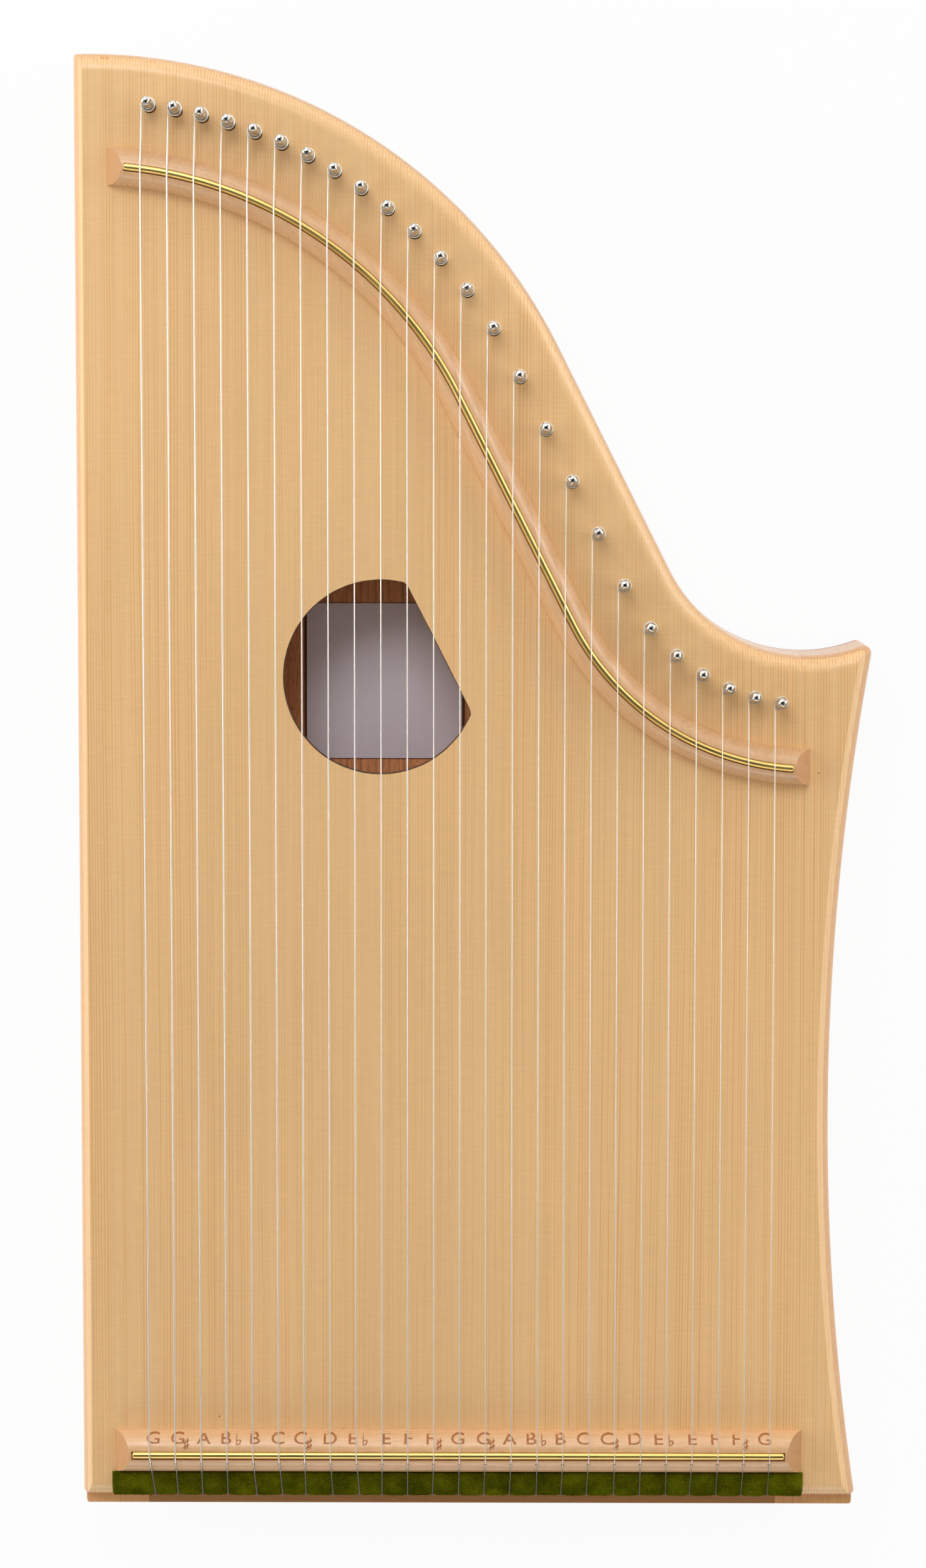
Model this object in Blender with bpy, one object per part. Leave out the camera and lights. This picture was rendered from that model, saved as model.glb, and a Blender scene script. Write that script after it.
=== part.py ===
"""A chromatic table harp of 25 strings, lying on its back.

Plan positions are bench positions: x from the straight left edge, y from the tail ledge's outer
face, z from the table. An empty carries every piece and puts the origin under the body's middle.
"""

import math

import bmesh
import bpy
from mathutils import Matrix, Vector

# Where the strings run
STRING_COUNT = 25
FIRST_STRING_X = 0.0301
STRING_PITCH = 0.0115
LAST_STRING_X = FIRST_STRING_X + (STRING_COUNT - 1) * STRING_PITCH

# Body plan
BODY_LENGTH = 0.644
RIGHT_MARGIN = 0.0266
WAIST_HEIGHT = 0.1856
SIDE_RADIUS = 1.175
CROWN_INSET = 0.007
STRAIGHT_FALL = math.radians(63.15)
SCOOP_RADIUS = 0.068
SCOOP_PAST_STRINGS = 0.0151
SCOOP_HEIGHT = 0.3832
CROWN_CORNER = 0.0015
HORN_CORNER = 0.0035
TAIL_CORNER = 0.002
TAIL_LEDGE = 0.005

# Body section
BODY_DEPTH = 0.045
BOARD_THICKNESS = 0.0035
BACK_THICKNESS = 0.004
EDGE_RADIUS = 0.008
SIDE_EDGE_SHARE = 0.7
BACK_EDGE = 0.0015
LEDGE_DROP = 0.009
LEDGE_END_STEP = 0.001
LEDGE_CORNER = 0.0025

# Frame bars, pin block and brace
LEFT_BAR = 0.029
RIGHT_SEAM_AT_TAIL = 0.0048
RIGHT_SEAM_AT_SCOOP = 0.0124
TAIL_BLOCK = 0.030
PIN_BLOCK_WIDTH = 0.062
BRACE_INSET = 0.0975
BRACE_WIDTH = 0.010
BRACE_HEIGHT = 0.018
BRACE_LENGTH = 0.300
BRACE_END_GAP = 0.002

# Sound hole
HOLE_RADIUS = 0.0427
HOLE_FLAT_INSET = 0.106
HOLE_FLAT_DEPTH = 0.0281
HOLE_ALONG = 0.0939

# Bridges and their rods
BRIDGE_HEIGHT = 0.010
UPPER_BRIDGE_INSET = 0.0486
UPPER_BRIDGE_WIDTH = 0.016
UPPER_BRIDGE_LEFT = FIRST_STRING_X - 0.0152
UPPER_BRIDGE_RIGHT = LAST_STRING_X + 0.0163
LOWER_BRIDGE_Y = 0.0269
LOWER_BRIDGE_WIDTH = 0.0191
LOWER_BRIDGE_LEFT = FIRST_STRING_X - 0.0154
LOWER_BRIDGE_RIGHT = LAST_STRING_X + 0.0158
BRIDGE_END_RUN = 0.007
SLOT_END_STEP = 0.001
ROD_DIAMETER = 0.003
ROD_SINK = 0.0003
ROD_END_GAP = 0.001
SLOT_SLACK = 0.0005
NOTCH_RADIUS = 0.0011
NOTCH_START = 0.0024
NOTCH_LENGTH = 0.005

# Felt
FELT_THICKNESS = 0.0016
FELT_WRAP = math.radians(42)

# Strings
LOW_GAUGE = 0.0008
HIGH_GAUGE = 0.00045
STRING_FALL = math.radians(46)
STRING_HOLE_RADIUS = 0.001
BALL_RADIUS = 0.0015
BALL_LENGTH = 0.0026
BALL_HEIGHT = 0.0112
BALL_POCKET_GAP = 0.0006
# How much further right each string stands at the lower rod than at the upper one
STRING_LEAN = 0.0008
# How far right of its string each hole in the ledge lies, in millimetres
TAIL_SHIFTS = (
    2.1, 0.6, 0.0, -0.2, 1.4, 1.5, 0.3, 0.9, 1.4, -0.3, -0.3, -0.6, -0.5,
    -0.7, -0.8, -0.2, -0.7, -0.8, 0.0, 0.1, 0.2, -0.6, -0.3, -0.5, -0.2,
)

# Tuning pins
PIN_DIAMETER = 0.005
PIN_DEPTH = 0.027
PIN_REACH = 0.0172
PIN_SHANK = 0.0085
PIN_SQUARE_DIAGONAL = 0.0049
PIN_TIP_DIAGONAL = 0.0018
PIN_TIP_HEIGHT = 0.0011
PIN_SQUARE_OVERLAP = 0.0006
PIN_ROW_INSET = 0.021
PIN_LEAN = math.radians(5.8)
PIN_LEAN_HEADING = math.radians(107)
PIN_HOLE_CLEARANCE = 0.00035
WRAP_HEIGHT = 0.0045
WRAP_TURNS = 2.25
WRAP_GAP = 0.0007
WRAP_CLEARANCE = 0.0003
# How far each pin's square is turned, in degrees anticlockwise from the string's line
PIN_TURNS = (
    -25, 18, -5, -29, 2, -20, -40, -3, -1, -18, 33, 16, -34,
    24, -10, -9, 30, 34, 0, -25, -8, -3, -24, -12, -28,
)

# Fits and facets
GLUE = 0.0003
CUT_MARGIN = 0.010
CORNER_STEPS = 2
HORN_STEPS = 4
SIDE_STEPS = 10
SCOOP_STEPS = 10
CROWN_STEPS = 14
EDGE_STEPS = 3
BRIDGE_ARC_STEPS = 9
BRIDGE_SECTION_STEPS = 8
HOLE_STEPS = 28
PIN_SIDES = 12
HOLE_SIDES = 6
WRAP_STEPS = 10
ROUND_RESOLUTION = 2
STRING_RESOLUTION = 0
SMALLEST_CORNER = 0.0002

BOARD_TOP = BODY_DEPTH
BOARD_UNDERSIDE = BODY_DEPTH - BOARD_THICKNESS
FRAME_TOP = BOARD_UNDERSIDE - GLUE
FRAME_BOTTOM = BACK_THICKNESS + GLUE
LEDGE_TOP = BODY_DEPTH - LEDGE_DROP
STRAIGHT_NORMAL = math.pi / 2 - STRAIGHT_FALL
OUTWARDS = Vector((math.cos(STRAIGHT_NORMAL), math.sin(STRAIGHT_NORMAL)))
DOWNHILL = Vector((OUTWARDS.y, -OUTWARDS.x))
CROWN_TOP = Vector((CROWN_INSET, BODY_LENGTH))
SCOOP = Vector((LAST_STRING_X + SCOOP_PAST_STRINGS, SCOOP_HEIGHT + SCOOP_RADIUS))
# The crown's radius that carries its arc into the straight without a kink
CROWN_RADIUS = (OUTWARDS.dot(SCOOP - CROWN_TOP) - SCOOP_RADIUS) / (1 - OUTWARDS.y)
CROWN = CROWN_TOP - Vector((0.0, CROWN_RADIUS))
SIDE = Vector((LAST_STRING_X + RIGHT_MARGIN + SIDE_RADIUS, WAIST_HEIGHT))
ROD_RADIUS = ROD_DIAMETER / 2
ROD_Z = BOARD_TOP + BRIDGE_HEIGHT - ROD_SINK
PIN_RADIUS = PIN_DIAMETER / 2


def arc(centre, radius, start, end, steps):
    """Points on an arc from one angle to another, both ends included."""
    turns = [start + (end - start) * i / steps for i in range(steps + 1)]
    return [(centre[0] + radius * math.cos(t), centre[1] + radius * math.sin(t)) for t in turns]


def edge_y(x, inset):
    """Height of the curved top edge, moved inwards by inset, at x."""
    crown_end = CROWN.x + (CROWN_RADIUS - inset) * math.cos(STRAIGHT_NORMAL)
    scoop_start = SCOOP.x - (SCOOP_RADIUS + inset) * math.cos(STRAIGHT_NORMAL)
    if x < crown_end:
        return CROWN.y + math.sqrt((CROWN_RADIUS - inset) ** 2 - (x - CROWN.x) ** 2)
    if x > scoop_start:
        return SCOOP.y - math.sqrt((SCOOP_RADIUS + inset) ** 2 - (x - SCOOP.x) ** 2)
    crown_y = CROWN.y + (CROWN_RADIUS - inset) * math.sin(STRAIGHT_NORMAL)
    return crown_y - (x - crown_end) / math.tan(STRAIGHT_NORMAL)


def edge_path(inset, left, right):
    """Points along the curved top edge, moved inwards by inset, from x = left to x = right."""
    crown_radius = CROWN_RADIUS - inset
    scoop_radius = SCOOP_RADIUS + inset
    start = math.acos((left - CROWN.x) / crown_radius)
    end = -math.acos((right - SCOOP.x) / scoop_radius)
    return arc(CROWN, crown_radius, start, STRAIGHT_NORMAL, BRIDGE_ARC_STEPS) + arc(
        SCOOP, scoop_radius, STRAIGHT_NORMAL - math.pi, end, BRIDGE_ARC_STEPS
    )


def meeting_point(first, first_reach, second, second_reach):
    """The point at both reaches, on the left of the way from first to second."""
    across = second - first
    along = (across.length_squared + first_reach**2 - second_reach**2) / (2 * across.length)
    aside = math.sqrt(first_reach**2 - along**2)
    way = across.normalized()
    return first + way * along + Vector((-way.y, way.x)) * aside


def side_x(y):
    """The bowed right side's edge at y."""
    return SIDE.x - math.sqrt(SIDE_RADIUS**2 - (y - SIDE.y) ** 2)


def outline(inset, tail):
    """The body's plan, moved inwards by inset, anticlockwise from the tail's left corner.

    The two long sides move in by a share of the inset, as their rounding is narrower.
    """
    tail_y = tail + inset
    side = inset * SIDE_EDGE_SHARE
    size = max(TAIL_CORNER - inset, SMALLEST_CORNER)
    points = arc((side + size, tail_y + size), size, math.pi, 1.5 * math.pi, CORNER_STEPS)
    reach = SIDE_RADIUS + side + size
    low_y = tail_y + size
    low_x = SIDE.x - math.sqrt(reach**2 - (low_y - SIDE.y) ** 2)
    low_turn = math.atan2(SIDE.y - low_y, SIDE.x - low_x)
    points += arc((low_x, low_y), size, -math.pi / 2, low_turn, CORNER_STEPS)
    size = max(HORN_CORNER - inset, SMALLEST_CORNER)
    horn = meeting_point(SIDE, SIDE_RADIUS + side + size, SCOOP, SCOOP_RADIUS + inset + size)
    side_turn = math.atan2(SIDE.y - horn.y, SIDE.x - horn.x)
    scoop_turn = math.atan2(SCOOP.y - horn.y, SCOOP.x - horn.x)
    points += arc(
        SIDE, SIDE_RADIUS + side, math.pi + low_turn, math.pi + side_turn, SIDE_STEPS
    )[1:-1]
    points += arc(horn, size, side_turn, scoop_turn, HORN_STEPS)
    points += arc(
        SCOOP,
        SCOOP_RADIUS + inset,
        scoop_turn - math.pi,
        STRAIGHT_NORMAL - math.pi,
        SCOOP_STEPS,
    )[1:]
    size = max(CROWN_CORNER - inset, SMALLEST_CORNER)
    corner_x = side + size
    reach = CROWN_RADIUS - inset - size
    corner_y = CROWN.y + math.sqrt(reach**2 - (corner_x - CROWN.x) ** 2)
    crown_turn = math.atan2(corner_y - CROWN.y, corner_x - CROWN.x)
    points += arc(CROWN, CROWN_RADIUS - inset, STRAIGHT_NORMAL, crown_turn, CROWN_STEPS)[:-1]
    points += arc((corner_x, corner_y), size, crown_turn, math.pi, CORNER_STEPS)
    return points


def rounded_inset(z):
    """How far the rounded top edge has come in at height z."""
    rise = z - (BODY_DEPTH - EDGE_RADIUS)
    if rise <= 0:
        return 0.0
    return EDGE_RADIUS - math.sqrt(max(EDGE_RADIUS**2 - rise**2, 0.0))


def rounded_levels(bottom, top):
    """Heights on the rounded edge from bottom to top, evenly turned."""
    base = BODY_DEPTH - EDGE_RADIUS
    start = math.asin((bottom - base) / EDGE_RADIUS)
    end = math.asin(min((top - base) / EDGE_RADIUS, 1.0))
    turns = [start + (end - start) * i / EDGE_STEPS for i in range(EDGE_STEPS + 1)]
    return [base + EDGE_RADIUS * math.sin(turn) for turn in turns]


def material(name, colour, roughness, metallic):
    made = bpy.data.materials.new(name)
    made.use_nodes = True
    shader = made.node_tree.nodes["Principled BSDF"]
    shader.inputs["Base Color"].default_value = (*colour, 1.0)
    shader.inputs["Roughness"].default_value = roughness
    shader.inputs["Metallic"].default_value = metallic
    return made


class Shop:
    """The collections, the carrying empty and the materials that the pieces share."""

    def __init__(self):
        for old in list(bpy.data.objects):
            bpy.data.objects.remove(old)
        self.parts = bpy.data.collections.new("table_harp")
        self.cutters = bpy.data.collections.new("cutters")
        bpy.context.scene.collection.children.link(self.parts)
        bpy.context.scene.collection.children.link(self.cutters)
        right_edge = max(x for x, y in outline(0.0, 0.0))
        self.carrier = bpy.data.objects.new("harp_carrier", None)
        self.carrier.location = (-right_edge / 2, -BODY_LENGTH / 2, 0.0)
        self.parts.objects.link(self.carrier)
        self.spruce = material("spruce", (0.76, 0.55, 0.30), 0.45, 0.0)
        self.beech = material("beech", (0.68, 0.45, 0.28), 0.5, 0.0)
        self.maple = material("maple", (0.80, 0.58, 0.40), 0.45, 0.0)
        self.mahogany = material("mahogany", (0.42, 0.20, 0.11), 0.5, 0.0)
        self.brass = material("brass", (0.80, 0.58, 0.22), 0.25, 1.0)
        self.nickel = material("nickel", (0.75, 0.74, 0.72), 0.2, 1.0)
        self.wire = material("string_wire", (0.78, 0.77, 0.75), 0.3, 1.0)
        self.felt = material("felt", (0.16, 0.20, 0.03), 0.95, 0.0)

    def place(self, obj, finish):
        """Puts a finished piece in the harp."""
        obj.data.materials.clear()
        obj.data.materials.append(finish)
        self.parts.objects.link(obj)
        obj.parent = self.carrier
        return obj

    def keep_cutter(self, obj):
        obj.hide_render = True
        obj.display_type = "WIRE"
        self.cutters.objects.link(obj)
        obj.parent = self.carrier
        return obj


def object_from(name, build):
    """An object whose mesh is what the build function leaves in a bmesh."""
    work = bmesh.new()
    build(work)
    bmesh.ops.recalc_face_normals(work, faces=work.faces)
    mesh = bpy.data.meshes.new(name)
    work.to_mesh(mesh)
    work.free()
    return bpy.data.objects.new(name, mesh)


def add_loft(work, rings):
    """A closed skin over rings of points, with a flat cap at each end."""
    loops = []
    for ring in rings:
        corners = [work.verts.new(point) for point in ring]
        count = len(corners)
        loops.append([work.edges.new((corners[i], corners[(i + 1) % count])) for i in range(count)])
    for below, above in zip(loops, loops[1:]):
        bmesh.ops.bridge_loops(work, edges=below + above)
    for end in (loops[0], loops[-1]):
        bmesh.ops.contextual_create(work, geom=end)


def loft(name, rings):
    return object_from(name, lambda work: add_loft(work, rings))


def box(name, low, high):
    """A box between two corners."""

    def build(work):
        middle = [(a + b) / 2 for a, b in zip(low, high)]
        sides = [b - a for a, b in zip(low, high)]
        size = Matrix.Diagonal((*sides, 1.0))
        bmesh.ops.create_cube(work, size=1.0, matrix=Matrix.Translation(middle) @ size)

    return object_from(name, build)


def boolean(obj, other, operation):
    step = obj.modifiers.new(f"{operation.lower()}_{other.name}", "BOOLEAN")
    step.operation = operation
    step.object = other
    step.solver = "EXACT"


def baked(obj):
    """The same piece with its modifiers worked into a mesh of its own."""
    bpy.context.scene.collection.objects.link(obj)
    graph = bpy.context.evaluated_depsgraph_get()
    mesh = bpy.data.meshes.new_from_object(obj.evaluated_get(graph))
    bpy.data.objects.remove(obj)
    return mesh


def smooth(obj, angle=math.radians(35)):
    obj.data.shade_smooth()
    obj.data.set_sharp_from_angle(angle=angle)


def at_height(points, z):
    return [(x, y, z) for x, y in points]


def make_soundboard(shop, drills):
    """Spruce top with its rounded edge, the sound hole and the pin holes."""
    levels = rounded_levels(BOARD_UNDERSIDE, BOARD_TOP)
    board = loft(
        "soundboard", [at_height(outline(rounded_inset(z), TAIL_LEDGE), z) for z in levels]
    )
    flat = CROWN + OUTWARDS * (CROWN_RADIUS - HOLE_FLAT_INSET) + DOWNHILL * HOLE_ALONG
    opening = math.acos(HOLE_FLAT_DEPTH / HOLE_RADIUS)
    plan = arc(
        flat - OUTWARDS * HOLE_FLAT_DEPTH,
        HOLE_RADIUS,
        STRAIGHT_NORMAL + opening,
        STRAIGHT_NORMAL + 2 * math.pi - opening,
        HOLE_STEPS,
    )
    low, high = BOARD_UNDERSIDE - CUT_MARGIN, BOARD_TOP + CUT_MARGIN
    cut = shop.keep_cutter(loft("sound_hole_cut", [at_height(plan, low), at_height(plan, high)]))
    boolean(board, cut, "DIFFERENCE")
    boolean(board, drills, "DIFFERENCE")
    shop.place(board, shop.spruce)
    smooth(board)


def make_back_board(shop):
    """Back board, as wide as the body and as long as body and ledge."""
    levels = ((0.0, BACK_EDGE), (BACK_EDGE, 0.0), (BACK_THICKNESS, 0.0))
    back = loft("back_board", [at_height(outline(inset, 0.0), z) for z, inset in levels])
    shop.place(back, shop.mahogany)
    smooth(back)


def frame_blank(name):
    """The solid hardwood body between the boards, before it is opened."""
    levels = [FRAME_BOTTOM] + rounded_levels(BODY_DEPTH - EDGE_RADIUS, FRAME_TOP)
    return loft(name, [at_height(outline(rounded_inset(z), TAIL_LEDGE), z) for z in levels])


def ledge_solid():
    """The strip of the tail block that stands out past the soundboard's end."""
    left = LEDGE_END_STEP
    right = side_x(TAIL_LEDGE) - LEDGE_END_STEP
    back = TAIL_LEDGE + EDGE_RADIUS
    plan = arc((left + LEDGE_CORNER, LEDGE_CORNER), LEDGE_CORNER, math.pi, 1.5 * math.pi, 2)
    plan += arc((right - LEDGE_CORNER, LEDGE_CORNER), LEDGE_CORNER, -math.pi / 2, 0.0, 2)
    plan += [(right, back), (left, back)]
    return loft("tail_ledge", [at_height(plan, FRAME_BOTTOM), at_height(plan, LEDGE_TOP)])


def string_x(index):
    return FIRST_STRING_X + index * STRING_PITCH


def string_x_at(index, y):
    """A string's x at y, from the lower rod aside to its hole in the ledge."""
    behind = max(LOWER_BRIDGE_Y - y, 0.0) / (LOWER_BRIDGE_Y - TAIL_LEDGE)
    shift = TAIL_SHIFTS[index % len(TAIL_SHIFTS)] / 1000 * behind
    return string_x(index) + STRING_LEAN + shift


def gauge(index):
    return LOW_GAUGE + (HIGH_GAUGE - LOW_GAUGE) * index / (STRING_COUNT - 1)


def add_post(work, radius, x, y, bottom, top, sides):
    """An upright prism, for a drilled hole or pocket."""
    place = Matrix.Translation((x, y, (bottom + top) / 2))
    bmesh.ops.create_cone(
        work, cap_ends=True, segments=sides, radius1=radius, radius2=radius,
        depth=top - bottom, matrix=place,
    )


def string_hole_drills():
    """Holes down from the ledge, each with a wider pocket below for the ball end."""

    def build(work):
        for index in range(STRING_COUNT):
            x = string_x_at(index, TAIL_LEDGE)
            pocket_top = BALL_HEIGHT + BALL_POCKET_GAP
            add_post(
                work, STRING_HOLE_RADIUS, x, TAIL_LEDGE, pocket_top - GLUE, BODY_DEPTH, HOLE_SIDES
            )

    return object_from("string_hole_drills", build)


def ball_pockets():
    def build(work):
        radius = BALL_RADIUS + BALL_POCKET_GAP
        for index in range(STRING_COUNT):
            top = BALL_HEIGHT + BALL_POCKET_GAP
            low = FRAME_BOTTOM - CUT_MARGIN
            x = string_x_at(index, TAIL_LEDGE)
            add_post(work, radius, x, TAIL_LEDGE, low, top, HOLE_SIDES)

    return object_from("ball_pockets", build)


def right_seam_x(y):
    """The right bar's inner face at y; the bar tapers upwards."""
    slant = (RIGHT_SEAM_AT_SCOOP - RIGHT_SEAM_AT_TAIL) / SCOOP_HEIGHT
    return LAST_STRING_X + RIGHT_SEAM_AT_TAIL + slant * y


def between_bars(name, gap, bottom):
    """A block between the two side bars, clear of both by the gap, from y = bottom upwards."""
    top = BODY_LENGTH + CUT_MARGIN
    plan = [
        (LEFT_BAR + gap, bottom),
        (right_seam_x(bottom) - gap, bottom),
        (right_seam_x(top) - gap, top),
        (LEFT_BAR + gap, top),
    ]
    heights = (FRAME_BOTTOM - CUT_MARGIN, FRAME_TOP + CUT_MARGIN)
    return loft(name, [at_height(plan, z) for z in heights])


def make_side_frame(shop):
    """Left bar, tail block with its ledge, and right bar, glued into one U."""
    frame = frame_blank("side_frame")
    ledge = shop.keep_cutter(ledge_solid())
    inside = between_bars("frame_inside", 0.0, TAIL_BLOCK)
    boolean(frame, ledge, "UNION")
    boolean(frame, shop.keep_cutter(inside), "DIFFERENCE")
    boolean(frame, shop.keep_cutter(string_hole_drills()), "DIFFERENCE")
    boolean(frame, shop.keep_cutter(ball_pockets()), "DIFFERENCE")
    shop.place(frame, shop.beech)
    smooth(frame)


def make_pin_block(shop, drills):
    """Solid block under the pins, between the two side bars."""
    block = frame_blank("pin_block")
    low, high = FRAME_BOTTOM - CUT_MARGIN, FRAME_TOP + CUT_MARGIN
    span = between_bars("pin_block_span", GLUE, 0.0)
    plan = edge_path(PIN_BLOCK_WIDTH, LEFT_BAR - CUT_MARGIN, SCOOP.x)
    plan += [(plan[-1][0], -CUT_MARGIN), (plan[0][0], -CUT_MARGIN)]
    inside = loft("pin_block_inside", [at_height(plan, low), at_height(plan, high)])
    boolean(block, shop.keep_cutter(span), "INTERSECT")
    boolean(block, shop.keep_cutter(inside), "DIFFERENCE")
    boolean(block, drills, "DIFFERENCE")
    shop.place(block, shop.beech)
    smooth(block)


def make_brace(shop):
    """Bar under the soundboard along the flat side of the sound hole."""
    near = CROWN_RADIUS - BRACE_INSET + BRACE_WIDTH / 2
    limit = CROWN_RADIUS - PIN_BLOCK_WIDTH - BRACE_END_GAP
    start = -math.sqrt(limit**2 - near**2)
    middle = (
        CROWN
        + OUTWARDS * (CROWN_RADIUS - BRACE_INSET)
        + DOWNHILL * (start + BRACE_LENGTH / 2)
    )
    half_long, half_wide = BRACE_LENGTH / 2, BRACE_WIDTH / 2
    brace = box(
        "soundboard_brace",
        (-half_long, -half_wide, -BRACE_HEIGHT),
        (half_long, half_wide, 0.0),
    )
    brace.location = (middle.x, middle.y, FRAME_TOP)
    brace.rotation_euler.z = math.atan2(DOWNHILL.y, DOWNHILL.x)
    shop.place(brace, shop.spruce)


def sweep(name, path, section):
    """A section of (side, height) points carried along a plan path, square to it."""
    rings = []
    for i, (x, y) in enumerate(path):
        before = path[max(i - 1, 0)]
        after = path[min(i + 1, len(path) - 1)]
        way = Vector((after[0] - before[0], after[1] - before[1])).normalized()
        rings.append([(x - way.y * side, y + way.x * side, z) for side, z in section])
    return loft(name, rings)


def half_round(width):
    """Section of a half-round moulding standing on the soundboard."""
    foot = BOARD_TOP + GLUE
    rise = BOARD_TOP + BRIDGE_HEIGHT - foot
    turns = [math.pi * i / BRIDGE_SECTION_STEPS for i in range(BRIDGE_SECTION_STEPS + 1)]
    return [(width / 2 * math.cos(turn), foot + rise * math.sin(turn)) for turn in turns]


def slant_ends(bridge, left, right):
    """Cuts both ends of a moulding to a flat that rises inwards from its foot."""
    foot = BOARD_TOP + GLUE
    rise = BOARD_TOP + BRIDGE_HEIGHT - foot
    work = bmesh.new()
    work.from_mesh(bridge.data)
    for x, facing in ((left, -1.0), (right, 1.0)):
        bmesh.ops.bisect_plane(
            work,
            geom=work.verts[:] + work.edges[:] + work.faces[:],
            plane_co=(x, 0.0, foot),
            plane_no=(facing * rise, 0.0, BRIDGE_END_RUN),
            clear_outer=True,
        )
        rim = [edge for edge in work.edges if edge.is_boundary]
        bmesh.ops.contextual_create(work, geom=rim)
    bmesh.ops.recalc_face_normals(work, faces=work.faces)
    work.to_mesh(bridge.data)
    work.free()


def slot_section():
    """Section of the slot for a rod: a little slack on the side that faces the tail."""
    pin_side = ROD_RADIUS + GLUE
    tail_side = pin_side + SLOT_SLACK
    low = ROD_Z - ROD_RADIUS - GLUE
    high = BOARD_TOP + BRIDGE_HEIGHT + CUT_MARGIN
    return [(-tail_side, low), (pin_side, low), (pin_side, high), (-tail_side, high)]


def make_rod(shop, name, path):
    """Brass rod laid in a bridge's slot."""
    curve = bpy.data.curves.new(name, "CURVE")
    curve.dimensions = "3D"
    curve.bevel_depth = ROD_RADIUS
    curve.bevel_resolution = ROUND_RESOLUTION
    curve.use_fill_caps = True
    spline = curve.splines.new("POLY")
    spline.points.add(len(path) - 1)
    for point, (x, y) in zip(spline.points, path):
        point.co = (x, y, ROD_Z, 1.0)
    shop.place(bpy.data.objects.new(name, curve), shop.brass)


def make_upper_bridge(shop):
    """Curved half-round bridge beside the pins, with its rod."""
    inset = UPPER_BRIDGE_INSET
    spare = BRIDGE_END_RUN / 2
    path = edge_path(inset, UPPER_BRIDGE_LEFT - spare, UPPER_BRIDGE_RIGHT + spare)
    bridge = sweep("upper_bridge", path, half_round(UPPER_BRIDGE_WIDTH))
    slant_ends(bridge, UPPER_BRIDGE_LEFT, UPPER_BRIDGE_RIGHT)
    left = UPPER_BRIDGE_LEFT + BRIDGE_END_RUN + SLOT_END_STEP
    right = UPPER_BRIDGE_RIGHT - BRIDGE_END_RUN - SLOT_END_STEP
    slot = sweep("upper_slot", edge_path(inset, left, right), slot_section())
    boolean(bridge, shop.keep_cutter(slot), "DIFFERENCE")
    shop.place(bridge, shop.maple)
    smooth(bridge)
    make_rod(shop, "upper_bridge_rod", edge_path(inset, left + ROD_END_GAP, right - ROD_END_GAP))


def fall_angle(radius):
    """Slope of a string of this radius between the lower rod and the felt's rounded edge."""
    rod_reach = ROD_RADIUS + GLUE + radius
    felt_reach = EDGE_RADIUS + GLUE + FELT_THICKNESS + GLUE + radius
    across = LOWER_BRIDGE_Y - TAIL_LEDGE - EDGE_RADIUS
    up = ROD_Z - (BODY_DEPTH - EDGE_RADIUS)
    return math.acos((felt_reach - rod_reach) / math.hypot(across, up)) - math.atan2(across, up)


def make_lower_bridge(shop):
    """Straight half-round bridge at the tail, with its rod and a notch behind it for each string."""
    left, right = LOWER_BRIDGE_LEFT, LOWER_BRIDGE_RIGHT
    spare = BRIDGE_END_RUN / 2
    path = [(left - spare, LOWER_BRIDGE_Y), (right + spare, LOWER_BRIDGE_Y)]
    bridge = sweep("lower_bridge", path, half_round(LOWER_BRIDGE_WIDTH))
    slant_ends(bridge, left, right)
    left += BRIDGE_END_RUN + SLOT_END_STEP
    right -= BRIDGE_END_RUN + SLOT_END_STEP
    slot = sweep(
        "lower_slot", [(left, LOWER_BRIDGE_Y), (right, LOWER_BRIDGE_Y)], slot_section()
    )
    boolean(bridge, shop.keep_cutter(slot), "DIFFERENCE")
    boolean(bridge, shop.keep_cutter(notch_cutters()), "DIFFERENCE")
    shop.place(bridge, shop.maple)
    smooth(bridge)
    ends = ((left + ROD_END_GAP, LOWER_BRIDGE_Y), (right - ROD_END_GAP, LOWER_BRIDGE_Y))
    make_rod(shop, "lower_bridge_rod", ends)


def notch_cutters():
    """Four-sided cutters along each string's way down behind the lower rod."""

    def build(work):
        for index in range(STRING_COUNT):
            radius = gauge(index) / 2
            fall = fall_angle(radius)
            reach = ROD_RADIUS + GLUE + radius
            run = NOTCH_START + NOTCH_LENGTH / 2
            y = LOWER_BRIDGE_Y - reach * math.sin(fall) - run * math.cos(fall)
            z = ROD_Z + reach * math.cos(fall) - run * math.sin(fall)
            x = string_x_at(index, y)
            aside = math.atan2(x - string_x_at(index, LOWER_BRIDGE_Y), LOWER_BRIDGE_Y - y)
            turn = Matrix.Rotation(aside, 4, "Z") @ Matrix.Rotation(math.pi / 2 - fall, 4, "X")
            bmesh.ops.create_cone(
                work, cap_ends=True, segments=4, radius1=NOTCH_RADIUS, radius2=NOTCH_RADIUS,
                depth=NOTCH_LENGTH, matrix=Matrix.Translation((x, y, z)) @ turn,
            )

    return object_from("notch_cutters", build)


def make_felt_strip(shop):
    """Felt from the lower bridge's foot over the rounded tail edge."""
    inner = EDGE_RADIUS + GLUE
    outer = inner + FELT_THICKNESS
    centre = (TAIL_LEDGE + EDGE_RADIUS, BODY_DEPTH - EDGE_RADIUS)
    front = LOWER_BRIDGE_Y - LOWER_BRIDGE_WIDTH / 2 - GLUE
    upright = math.pi / 2
    section = arc(centre, inner, upright, upright + FELT_WRAP, EDGE_STEPS)
    section += arc(centre, outer, upright + FELT_WRAP, upright, EDGE_STEPS)
    section += [(front, centre[1] + outer), (front, centre[1] + inner)]
    ends = (LOWER_BRIDGE_LEFT, LOWER_BRIDGE_RIGHT)
    felt = loft("felt_strip", [[(x, y, z) for y, z in section] for x in ends])
    shop.place(felt, shop.felt)
    smooth(felt)


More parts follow.
